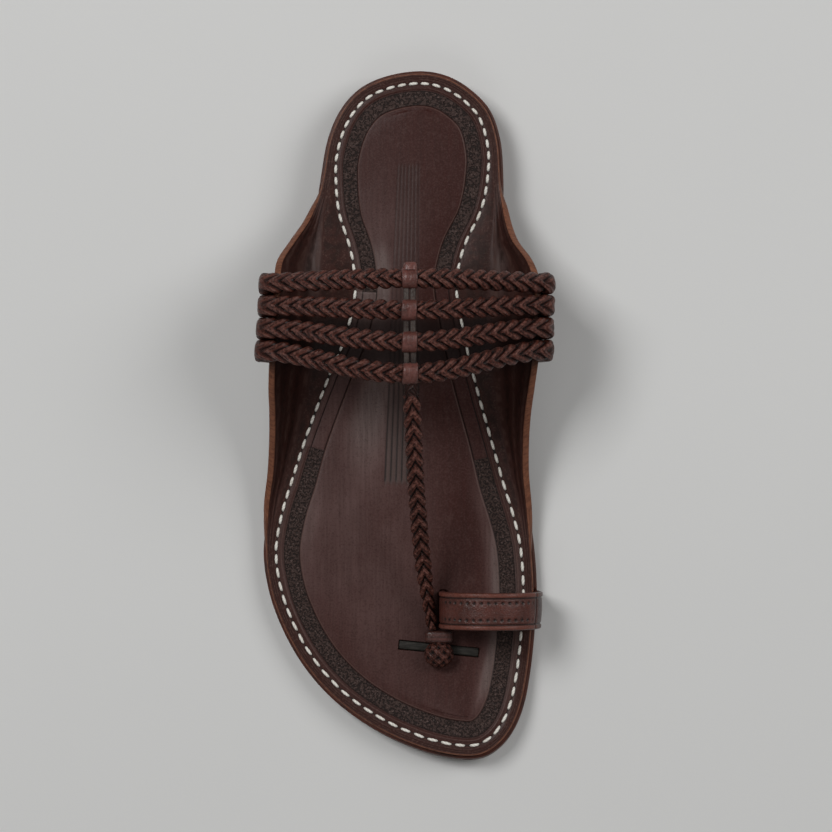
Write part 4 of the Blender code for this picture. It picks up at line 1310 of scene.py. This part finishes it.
def braid_height(turns, turn, lean):
    """How far a flat braid's strands stand out, and each point's place across its strand. Two families
    of strands meet over its middle in chevrons. turns counts the chevrons along the cord, turn goes
    round the section from the right edge over the top, and lean is the chevrons' slant in pitches."""
    across = -np.cos(turn)
    width = 0.74 + 0.24 * ease(np.abs(across) / 0.42)
    right = turns + lean * across
    left = turns - lean * across + FAMILY_LAG
    height = strand_profile(right, width) - 1.2 * ease((across - 0.02) / 0.3)
    other = strand_profile(left, width) - 1.2 * ease((0.06 - across) / 0.3)
    strand = np.where(height > other, right - np.floor(right), left - np.floor(left))
    return np.clip(np.maximum(height, other), 0, 1), strand


def make_braid(name, route, lean, thickness, pitch, plain, swell, shade, waist):
    """A braided cord. thickness, pitch, plain, the share by which the relief fades, and waist, the
    width's share, are functions of the distance along the route. A plain stretch swells and is shaded
    by these shares."""
    even = np.linspace(0, route.length, 400)
    counted = np.r_[0, np.cumsum(np.diff(even) / pitch((even[1:] + even[:-1]) / 2))]
    rows, across = round(counted[-1] * BRAID_ROWS), BRAID_COLUMNS
    marks = np.interp(np.linspace(0, counted[-1], rows + 1), counted, even)
    turn = around(across)
    turns = np.interp(marks, even, counted)[:, None]
    height, strand = braid_height(turns, turn[None, :], lean)
    fading = plain(marks)[:, None]
    size = 1 - cords().relief * (1 - fading) * (1 - height) + swell * fading
    bend = 0.9 - 0.35 * fading
    beside, rise = squared(turn, bend, bend)
    beside = beside * size * waist(marks)[:, None]
    rise = rise * size * thickness(marks)[:, None] / 2
    points = route.place(marks[:, None] * np.ones(across), beside, rise).reshape(-1, 3)
    # painted shade in the valleys between strands and along the braid's sides, and over the plain
    # stretches by their shade share
    flank = 0.30 * np.abs(np.cos(turn)) ** 5
    valley = np.clip((1 - height + flank) * (1 - fading) + shade * fading, 0, 1)
    values = {"valley": valley, "strand": strand}
    finish = bpy.data.materials["braided_leather"]
    return add_piece(name, points, tube_faces(rows + 1, across), finish, values, sharp=75)


def cord_half(y, sign):
    """One side of a cord's line in the plane across the foot: rows of (x, z) from the end that is let
    in, up the ear's outer face and over its rim, then the direction in which it leaves."""
    size, cord = sole(), cords()
    bend, out, up = ear_size(y, sign)
    shares = np.linspace(0, 1, 60)
    place, normal = ear_section(out, up, shares)
    half = np.interp(shares, [0, cord.full_share], [cord.end / 2, cord.thickness / 2])
    face = place + normal * (size.footbed + size.gap + half)[:, None]
    inside = face[0] - np.array([cord.let_in, 0]) * np.linspace(1, 0, 4)[:-1, None]
    rim = place[-1] + normal[-1] * size.footbed / 2
    radius = size.footbed / 2 + size.gap + cord.thickness / 2
    start = math.atan2(normal[-1][1], normal[-1][0])
    turns = np.linspace(start, math.pi / 2 - cord.leave, 24)[1:]
    over = rim + radius * np.stack([np.cos(turns), np.sin(turns)], axis=1)
    line = np.concatenate([inside, face, over])
    leave = np.array([-sign * math.cos(cord.leave), math.sin(cord.leave)])
    return np.stack([bend + sign * line[:, 0], footbed_top(y) + line[:, 1]], axis=1), leave


def lace_x():
    """Where the lace runs across the cords."""
    return cords().lace_side * sole().ball_width


def cord_line(ear_y, lace_y):
    """A line along the instep band from its lateral to its medial end, at ear_y over the ears and drawn
    to lace_y under the lace, and the number of its points at each ear."""
    cord = cords()
    first, leave_first = cord_half(ear_y, -1)
    last, leave_last = cord_half(ear_y, 1)
    reach = cord.rise / (0.75 * math.sin(cord.leave))
    start, end = first[-1], last[-1]
    handles = start + leave_first * reach, end + leave_last * reach
    arch = bezier(start, *handles, end, np.linspace(0, 1, 200)[1:-1])
    line = np.concatenate([first, arch, last[::-1]])
    middle = lace_x()
    span = np.where(line[:, 0] < middle, middle - start[0], end[0] - middle)
    pull = np.cos(np.clip(np.abs(line[:, 0] - middle) / span, 0, 1) * math.pi / 2) ** 1.6
    pull[: len(first)] = pull[-len(last) :] = 0
    y = ear_y + (lace_y - ear_y) * pull
    return np.column_stack([line[:, 0], y, line[:, 1]]), len(first)


def cord_route(number):
    """The strip of one instep cord, and the distance from its end to where it leaves the ear."""
    cord = cords()
    pitch = cord.width + cord.clearance
    place = (cord.count - 1) / 2 - number
    middle = y_at(cord.band_along)
    ear_y = middle + place * pitch
    lace_y = middle - cord.pull + place * (pitch + cord.spread)
    half = cord.width / 2
    centre, ends = cord_line(ear_y, lace_y)
    left, _ = cord_line(ear_y + half, lace_y + half)
    right, _ = cord_line(ear_y - half, lace_y - half)
    route = Route(centre, left, right)
    return route, route.marks[ends]


def lace_mark(route):
    """The distance along a cord at which the lace crosses it, looked for over the foot alone."""
    inner = slice(110, -110)
    offset = np.abs(route.centre[inner, 0] - lace_x())
    return route.marks[inner][np.argmin(offset)]


WRAP_PINCH = 0.16  # how much narrower a cord is inside its wrap
STRAND_WIDTH = 0.0021
STRAND_RISE = 0.0009  # half the thickness of the lace's strands
STRAND_SHIFT = 0.0013  # from the lace's middle to each strand's
FOLD_WIDTH = 0.0052
FOLD_RISE = 0.0024  # half the thickness of the lace's folded end


def make_cords():
    """The braided instep cords, which flatten where they lie on the ears and narrow under the lace."""
    cord = cords()
    cord_leather()
    for number in range(cord.count):
        route, turn_end = cord_route(number)
        lace = lace_mark(route)

        def from_end(mark, route=route):
            return np.minimum(mark, route.length - mark)

        def thickness(mark, turn_end=turn_end, from_end=from_end):
            share = np.clip((from_end(mark) - cord.let_in) / (cord.full_share * turn_end), 0, 1)
            return cord.end + (cord.thickness - cord.end) * share

        def plain(mark, turn_end=turn_end, from_end=from_end):
            return 0.88 * (1 - ease((from_end(mark) - turn_end + 0.004) / 0.009))

        def pitch(mark, turn_end=turn_end, from_end=from_end):
            return cord.pitch * (1.5 - 0.5 * ease((from_end(mark) - turn_end) / 0.032))

        def waist(mark, lace=lace):
            return 1 - WRAP_PINCH * np.exp(-(((mark - lace) / 0.0050) ** 2))

        name = f"instep_cord_{number + 1}"
        made = make_braid(name, route, cord.lean, thickness, pitch, plain, 0.085, 0.3, waist)
        seat(made, "upper")


def sweep(name, route, distance, beside, rise, groove, finish):
    """A piece of the lace: a tube along the route, dark where groove is 1."""
    beside, rise, groove = (np.broadcast_to(grid, distance.shape) for grid in (beside, rise, groove))
    points = route.place(distance, beside, rise).reshape(-1, 3)
    made = add_piece(name, points, tube_faces(*distance.shape), finish, {"groove": groove})
    seat(made, "upper")


def make_lace():
    """The flat wraps round the cords and the two narrow strands that join them."""
    cord = cords()
    finish = polished_leather("wrap_leather", tuple(colours().wrap), (0.090, 0.031, 0.024))
    # the strands' darker leather is partly painted shade, where they lie down between the cords
    dark = polished_leather("strand_leather", (0.034, 0.026, 0.023), (0.075, 0.060, 0.053), 0.5)
    routes = [cord_route(number)[0] for number in range(cord.count)]
    turn = around(40)
    side, top = squared(turn, 0.85, 0.85)
    s = np.linspace(-1, 1, 17)[:, None]
    skin = cord.wrap_skin * (0.25 + 0.85 * np.clip(1 - s**6, 0, 1) ** 0.5)
    beside = side * (1 - WRAP_PINCH + skin / (cord.width / 2))
    groove = 0.08 + 0.9 * (np.abs(s) > 0.95)
    for number, route in enumerate(routes):
        tuck = 0.00010 * np.cos(3 * math.pi * s) * np.cos(2 * turn + number)
        distance = lace_mark(route) + s * cord.wrap_length / 2 + 0 * turn
        rise = top * (cord.thickness / 2 + skin + tuck)
        sweep(f"wrap_{number + 1}", route, distance, beside, rise, groove, finish)
    middles = [route.read(route.centre, lace_mark(route)) for route in routes]
    turn = around(16)
    side, top = squared(turn, 0.6, 0.6)
    for number, (start, end) in enumerate(zip(middles, middles[1:]), 1):
        for letter, shift in (("a", -STRAND_SHIFT), ("b", STRAND_SHIFT)):
            ends = start + np.array([shift, 0, 0]), end + np.array([shift, 0, 0])
            strand = strip_route(np.linspace(*ends, 9), STRAND_WIDTH, (-1, 0, 0))
            distance = np.linspace(0, strand.length, 9)[:, None] + 0 * turn
            sweep(f"strand_{number}{letter}", strand, distance, side, STRAND_RISE * top, 0, dark)
    make_fold(middles[0], middles[1], finish)


def make_fold(middle, following, finish):
    """The lace's end, folded over the first cord's edge towards the heel."""
    reach = cords().width / 2
    away = (middle - following) / np.linalg.norm(middle - following)
    ends = middle + away * (reach - 0.0012), middle + away * (reach + 0.0022) - [0, 0, 0.0006]
    strip = strip_route(np.linspace(*ends, 12), FOLD_WIDTH, (-1, 0, 0))
    turn = around(24)
    side, top = squared(turn, 0.5, 0.7)
    s = np.linspace(0, 1, 12)[:, None]
    size = np.clip(1 - s**5, 0.05, 1) ** 0.5
    distance = s * strip.length + 0 * turn
    sweep("lace_fold", strip, distance, side * size**0.4, top * FOLD_RISE * size, 0, finish)


def knot_middle():
    """The middle of the knot's ball, on the footbed's level."""
    y = y_at(toe().knot_along)
    return np.array([toe().knot_side * sole().ball_width, y, panel_top(y)])


KNOT_SIZE = (0.0117, 0.0108, 0.0084)
KNOT_STRANDS = 7  # round the knot's ball, in each of two directions
KNOT_RELIEF = 0.13  # depth between the strands, a share of the ball's size
KNOT_BAND = (0.0106, 0.0050, 0.0066)  # width, length and height
KNOT_NECK = 0.00445  # from the ball's middle to the band
STRAP_HANDLE = 0.36  # how far the strap's ends hold their direction, a share of its run
STRAP_TAPER = 0.28  # the share of the strap's length that narrows
STRAP_OFFSET = 0.0026  # the strap meets the knot's band this far to the little toe's side
STRAP_FULLNESS = 1.05  # the braid's width, a share of the strap's


def knot_band_middle():
    """The middle of the flat band round the knot's neck."""
    _, length, height = KNOT_BAND
    middle = knot_middle() + [0, KNOT_NECK + length / 2, 0]
    middle[2] = panel_top(middle[1]) + sole().gap + height / 2
    return middle


def strap_route():
    """The toe strap's line, from the lace down to the knot's band."""
    cord = cords()
    last, _ = cord_route(cord.count - 1)
    start = last.read(last.centre, lace_mark(last))
    leave, arrive = math.radians(11), math.radians(16)
    clear = sole().gap + cord.strap_thickness / 2 * math.sin(arrive)
    end = knot_band_middle() + [-STRAP_OFFSET, KNOT_BAND[1] / 2 + clear, 0]
    reach = STRAP_HANDLE * (start[1] - end[1])
    first = start + reach * np.array([0.045, -1, -math.tan(leave)])
    handle = end + reach * np.array([-0.16, 1, math.tan(arrive)])
    shares = np.linspace(0, 1, 260)
    line = bezier(start, first, handle, end, shares)
    taper = ease((shares - 1 + STRAP_TAPER) / STRAP_TAPER)
    return strip_route(line, cord.strap_width + (cord.strap_end - cord.strap_width) * taper, (-1, 0, 0))


def steady(value):
    """A function of the distance that keeps this value."""
    return lambda mark: np.full(len(mark), value)


def make_toe_strap():
    """The braided strap from the lace to the knot, a plain tube as far as the last cord's edge."""
    cord = cords()
    thickness, pitch, waist = map(steady, (cord.strap_thickness, cord.strap_pitch, STRAP_FULLNESS))

    def plain(mark):
        return 1 - ease((mark - cord.lace_end) / 0.0009)

    route = strap_route()
    made = make_braid("toe_strap", route, cord.strap_lean, thickness, pitch, plain, -0.22, 0.75, waist)
    seat(made, "upper")


def make_knot():
    """The braided ball in front of the strap, and the flat band round its neck."""
    middle = knot_middle() + [0, 0, sole().gap + KNOT_SIZE[2] / 2]
    rows, across = 72, 120
    polar = np.linspace(0.03, math.pi - 0.03, rows)[:, None]
    turn = around(across)
    swing = 2.1 * (polar - math.pi / 2)
    one = strand_profile((KNOT_STRANDS * turn + swing * 3.6) / (2 * math.pi))
    two = strand_profile((KNOT_STRANDS * turn - swing * 3.6) / (2 * math.pi) + 0.5)
    over = 0.5 + 0.5 * np.cos(KNOT_STRANDS * turn) * np.cos(polar * KNOT_STRANDS)
    height = np.maximum(one - 0.4 * over, two - 0.4 * (1 - over))
    height = np.clip((height - 0.1) / 0.75, 0, 1)
    size = 1 - KNOT_RELIEF * (1 - height)
    ball = np.sin(polar) * np.cos(turn), np.cos(polar) + 0 * turn, np.sin(polar) * np.sin(turn)
    points = middle + np.stack(ball, axis=2) * size[..., None] * np.array(KNOT_SIZE) / 2
    # painted shade in the valleys between the ball's strands
    values = {"valley": np.clip(0.22 + 1.1 * (1 - height), 0, 1), "strand": one}
    faces = tube_faces(rows, across)
    finish = bpy.data.materials["braided_leather"]
    made = add_piece("knot_ball", points.reshape(-1, 3), faces, finish, values, sharp=75)
    seat(made, "toe_knot")
    width, length, tall = KNOT_BAND
    rows, across = 25, 48
    s = np.linspace(-1, 1, rows)[:, None]
    side, top = squared(around(across), 0.45, 0.55)
    swell = np.clip(1 - np.abs(s) ** 5, 0.02, 1) ** 0.5
    x = side * (width / 2 + 0.0002) * swell**0.35
    z = top * tall / 2 * swell**0.5
    y = s * length / 2 + 0 * x
    points = knot_band_middle() + np.stack([x, y, z], axis=2)
    dark = np.clip(0.45 + 0.22 * np.cos(s * 9.4) + 0.6 * (np.abs(s) > 0.86), 0, 1)
    faces = tube_faces(rows, across)
    finish = bpy.data.materials["wrap_leather"]
    values = {"groove": dark + 0 * x}
    made = add_piece("knot_band", points.reshape(-1, 3), faces, finish, values)
    seat(made, "toe_knot")


# Toe ring

RING_SAMPLES = 400  # points along the ring's leather
RING_COLUMNS = 80  # and across it
BEAD_HEIGHT = 0.00028
BEAD_HALF = 0.0010  # half a bead's width, and how far its middle lies from the ring's edge
GROOVE_INSET = 0.00215  # from the ring's edge
DIMPLE_INSET = 0.0040
DIMPLE_PITCH = 0.0027
ARCH_START = 0.0335  # where the ring's arch starts and ends, from its outer end
ARCH_END = 0.0745
CREASE_BEFORE = 0.0016  # the ring turns down this far before its arch starts


def ring_span():
    """The toe ring's two edges in y."""
    middle = y_at(toe().along)
    return middle - toe().width / 2, middle + toe().width / 2


def ring_line(y):
    """The toe ring's middle surface in the plane across the foot: from the end that is let in at the
    sole's edge, over the toe, to the end in its slit. Rows of (x, z)."""
    size, ring = sole(), toe()
    ground = footbed_top(y_at(ring.along))
    turn = ring.thickness / 2 + size.gap
    corner = np.array([edge_at(y, 1) - size.edge_step, ground - size.footbed])
    tab = corner + np.linspace([-ring.let_in, -turn], [0, -turn], 16)[:-1]
    turns = np.linspace(-math.pi / 2, 0, 14)
    hem = corner + turn * np.stack([np.cos(turns), np.sin(turns)], axis=1)
    outer, inner = corner[0] + turn, ring.side * size.ball_width
    widest = outer + ring.bulge
    rise = np.linspace(0, 1, 20)[1:]
    level = ground + ring.widest
    side = np.column_stack([outer + ring.bulge * ease(rise), hem[-1, 1] + (level - hem[-1, 1]) * rise])
    over = np.linspace(0, math.pi, 120)[1:]
    reach, height = (widest - inner) / 2, ring.height - ring.widest
    arch = np.column_stack([inner + reach + reach * np.cos(over), level + height * np.sin(over)])
    leg = np.linspace([inner, level], [inner, ground - size.footbed], 20)[1:]
    return np.concatenate([tab, hem, side, arch, leg])


def ring_relief(v, u):
    """The raised face of the ring's leather, and its dark and its lighter places: beads along both edges
    with a painted highlight, a groove inside each, two rows of dimples, a crease where it turns down at
    the sole's side and painted shade on the side face below it. v is the distance from the middle and u
    the distance along, in metres."""
    edge = toe().width / 2 - np.abs(v)
    bead = np.sqrt(np.clip(1 - ((edge - BEAD_HALF) / BEAD_HALF) ** 2, 0, 1))
    groove = np.exp(-(((edge - GROOVE_INSET) / 0.00028) ** 2))
    nearest = (u / DIMPLE_PITCH - np.floor(u / DIMPLE_PITCH) - 0.5) * DIMPLE_PITCH
    on_arch = ease((u - ARCH_START) / 0.001) * ease((ARCH_END - u) / 0.001)
    dimple = np.exp(-(nearest**2 + (edge - DIMPLE_INSET) ** 2) / 0.00055**2) * on_arch
    crown = 0.00015 * np.clip(1 - (v / 0.005) ** 2, 0, 1)
    crease = np.exp(-(((u - ARCH_START + CREASE_BEFORE) / 0.0005) ** 2))
    height = BEAD_HEIGHT * bead + crown - 0.00030 * groove - 0.00042 * dimple - 0.00025 * crease
    # painted shade on the ring's side face, before the crease where it turns down
    side = 0.6 * ease((ARCH_START - CREASE_BEFORE - u) / 0.002)
    dark = np.maximum(np.maximum(groove, np.minimum(1.6 * dimple, 1)), np.maximum(0.8 * crease, side))
    return height, dark, bead + 0 * u


def make_ring():
    """The toe ring: a band of leather with beads, grooves and dimples on its outer face."""
    ring = toe()
    even = np.linspace(-1, 1, RING_COLUMNS)
    v = (np.sin(even * math.pi / 2) * 0.25 + even * 0.75) * ring.width / 2
    middle_y = y_at(ring.along)
    lines = []
    for offset in v:
        line = ring_line(middle_y + offset)
        marks = path_marks(line)
        places = np.linspace(0, marks[-1], RING_SAMPLES)
        lines.append(np.stack([np.interp(places, marks, line[:, k]) for k in range(2)], axis=1))
    lines = np.array(lines)
    lengths = np.linalg.norm(np.diff(lines, axis=1), axis=2).sum(axis=1)
    u = np.linspace(0, 1, RING_SAMPLES)[None, :] * lengths[:, None]
    tangent = np.gradient(lines, axis=1)
    tangent /= np.linalg.norm(tangent, axis=2)[..., None]
    normal = np.stack([tangent[..., 1], -tangent[..., 0]], axis=2)
    edge = 1 - np.abs(v) / (ring.width / 2)
    rounding = np.sqrt(np.clip(1 - (1 - np.clip(edge / 0.07, 0, 1)) ** 2, 0.03, 1))[:, None]
    relief, dark, bead = ring_relief(v[:, None], u)
    thick = ring.thickness / 2
    top = lines + normal * ((thick + relief) * rounding)[..., None]
    under = lines - normal * (thick * rounding)[..., None]
    y = (middle_y + v)[:, None] + 0 * u
    top, under = (np.stack([face[..., 0], y, face[..., 1]], axis=2) for face in (top, under))
    rounds = np.concatenate([top, under[::-1]], axis=0).transpose(1, 0, 2)
    values = {
        name: np.concatenate([shown, np.zeros_like(shown)], axis=0).T
        for name, shown in (("groove", dark), ("bead", bead))
    }
    faces = tube_faces(RING_SAMPLES, 2 * RING_COLUMNS)
    finish = polished_leather("polished_leather", tuple(colours().ring), (0.060, 0.0195, 0.0145), 0.85)
    made = add_piece("toe_ring_band", rounds.reshape(-1, 3), faces, finish, values, sharp=60)
    face_outwards(made)
    seat(made, "toe_ring")


# Stage

FLOOR_HALF = 3.0
SOFT_WHITE = (1.0, 0.995, 0.985, 1)
STUDIO_LIGHT = 0.10
Lamp = namedtuple("Lamp", "name place size power")
LAMPS = [
    Lamp("key", (-0.80, 0.66, 1.55), (0.7, 0.7), 16.5),
    Lamp("fill", (1.30, 0.55, 1.30), (1.0, 1.0), 13),
    Lamp("front", (-0.2, -1.3, 1.7), (1.4, 0.8), 3.2),
]
CAMERA_PLACE = (0.0655, -0.012, 1.3)
CAMERA_TARGET = (0.0035, 0, 0.02)
SENSOR_WIDTH = 36  # millimetres
LENS = 141


def area_light(lamp):
    """A soft rectangular light that shines on the sandal."""
    light = bpy.data.lights.new(lamp.name, "AREA")
    light.shape = "RECTANGLE"
    light.size, light.size_y = lamp.size
    light.energy = lamp.power
    made = bpy.data.objects.new(lamp.name, light)
    made.location = lamp.place
    made.rotation_euler = (-Vector(lamp.place)).to_track_quat("-Z", "Y").to_euler()
    bpy.context.scene.collection.objects.link(made)


def make_stage():
    """The floor, the soft light and the camera, whose picture has the toes at the bottom."""
    scene = bpy.context.scene
    mesh = bpy.data.meshes.new("floor")
    corners = [(x * FLOOR_HALF, y * FLOOR_HALF, 0) for x, y in ((-1, -1), (1, -1), (1, 1), (-1, 1))]
    mesh.from_pydata(corners, [], [(0, 1, 2, 3)])
    mesh.materials.append(floor_paint())
    floor = bpy.data.objects.new("floor", mesh)
    scene.collection.objects.link(floor)
    world = bpy.data.worlds.new("studio")
    world.use_nodes = True
    background = world.node_tree.nodes["Background"]
    background.inputs["Color"].default_value = SOFT_WHITE
    background.inputs["Strength"].default_value = STUDIO_LIGHT
    scene.world = world
    for lamp in LAMPS:
        area_light(lamp)
    scene.view_settings.view_transform = "Standard"
    scene.view_settings.look = "None"
    lens = bpy.data.cameras.new("camera")
    lens.sensor_width = SENSOR_WIDTH
    lens.lens = LENS
    lens.clip_start = 0.05
    camera = bpy.data.objects.new("camera", lens)
    camera.location = CAMERA_PLACE
    back = (camera.location - Vector(CAMERA_TARGET)).normalized()
    right = Vector((0, 1, 0)).cross(back).normalized()
    camera.rotation_euler = Matrix((right, back.cross(right), back)).transposed().to_euler()
    scene.collection.objects.link(camera)
    scene.camera = camera


# The add-on


class SANDAL_OT_stage(Operator):
    """Make the floor, the lights and the camera"""

    bl_idname = "sandal.stage"
    bl_label = "Stage"

    def execute(self, context):
        make_stage()
        return {"FINISHED"}


class SANDAL_OT_outsole(Operator):
    """Make the outsole"""

    bl_idname = "sandal.outsole"
    bl_label = "Outsole"

    def execute(self, context):
        make_outsole()
        return {"FINISHED"}


class SANDAL_OT_heel(Operator):
    """Make the stacked heel"""

    bl_idname = "sandal.heel"
    bl_label = "Heel"

    def execute(self, context):
        make_heel()
        return {"FINISHED"}


class SANDAL_OT_footbed(Operator):
    """Make the footbed with its ears and stamped band"""

    bl_idname = "sandal.footbed"
    bl_label = "Footbed"

    def execute(self, context):
        make_footbed()
        return {"FINISHED"}


class SANDAL_OT_slot_strip(Operator):
    """Make the leather strip in the slot between the toes"""

    bl_idname = "sandal.slot_strip"
    bl_label = "Slot Strip"

    def execute(self, context):
        make_slot_strip()
        return {"FINISHED"}


class SANDAL_OT_stitches(Operator):
    """Make the stitches round the footbed"""

    bl_idname = "sandal.stitches"
    bl_label = "Stitches"

    def execute(self, context):
        make_stitches()
        return {"FINISHED"}


class SANDAL_OT_cords(Operator):
    """Make the braided instep cords"""

    bl_idname = "sandal.cords"
    bl_label = "Instep Cords"

    def execute(self, context):
        make_cords()
        return {"FINISHED"}


class SANDAL_OT_lace(Operator):
    """Make the wraps and strands that gather the cords"""

    bl_idname = "sandal.lace"
    bl_label = "Lace"

    def execute(self, context):
        make_lace()
        return {"FINISHED"}


class SANDAL_OT_toe_strap(Operator):
    """Make the braided toe strap"""

    bl_idname = "sandal.toe_strap"
    bl_label = "Toe Strap"

    def execute(self, context):
        make_toe_strap()
        return {"FINISHED"}


class SANDAL_OT_knot(Operator):
    """Make the knot and the band round its neck"""

    bl_idname = "sandal.knot"
    bl_label = "Knot"

    def execute(self, context):
        make_knot()
        return {"FINISHED"}


class SANDAL_OT_ring(Operator):
    """Make the toe ring"""

    bl_idname = "sandal.ring"
    bl_label = "Toe Ring"

    def execute(self, context):
        make_ring()
        return {"FINISHED"}


OPERATORS = (
    SANDAL_OT_stage,
    SANDAL_OT_outsole,
    SANDAL_OT_heel,
    SANDAL_OT_footbed,
    SANDAL_OT_slot_strip,
    SANDAL_OT_stitches,
    SANDAL_OT_cords,
    SANDAL_OT_lace,
    SANDAL_OT_toe_strap,
    SANDAL_OT_knot,
    SANDAL_OT_ring,
)


class SANDAL_PT_main(Panel):
    """Lists the operators and the settings that they read"""

    bl_idname = "SANDAL_PT_main"
    bl_label = "Kolhapuri Sandal"
    bl_space_type = "VIEW_3D"
    bl_region_type = "UI"
    bl_category = "Sandal"

    def draw(self, context):
        layout = self.layout
        for operator in OPERATORS:
            layout.operator(operator.bl_idname)
        for name in GROUPS:
            box = layout.box()
            settings = getattr(context.scene, name)
            for key in settings.bl_rna.properties.keys():
                if key not in ("rna_type", "name"):
                    box.prop(settings, key)


GROUPS = {
    "sandal_sole": SoleSizes,
    "sandal_cords": CordSizes,
    "sandal_ring": RingSizes,
    "sandal_colours": Colours,
}


def register():
    for group in GROUPS.values():
        bpy.utils.register_class(group)
    for name, group in GROUPS.items():
        setattr(bpy.types.Scene, name, PointerProperty(type=group))
    for operator in OPERATORS:
        bpy.utils.register_class(operator)
    bpy.utils.register_class(SANDAL_PT_main)


def unregister():
    bpy.utils.unregister_class(SANDAL_PT_main)
    for operator in reversed(OPERATORS):
        bpy.utils.unregister_class(operator)
    for name, group in reversed(GROUPS.items()):
        delattr(bpy.types.Scene, name)
        bpy.utils.unregister_class(group)


def main():
    register()
    bpy.ops.sandal.stage()
    bpy.ops.sandal.outsole()
    bpy.ops.sandal.heel()
    bpy.ops.sandal.footbed()
    bpy.ops.sandal.slot_strip()
    bpy.ops.sandal.stitches()
    bpy.ops.sandal.cords()
    bpy.ops.sandal.lace()
    bpy.ops.sandal.toe_strap()
    bpy.ops.sandal.knot()
    bpy.ops.sandal.ring()


if __name__ == "__main__":
    main()
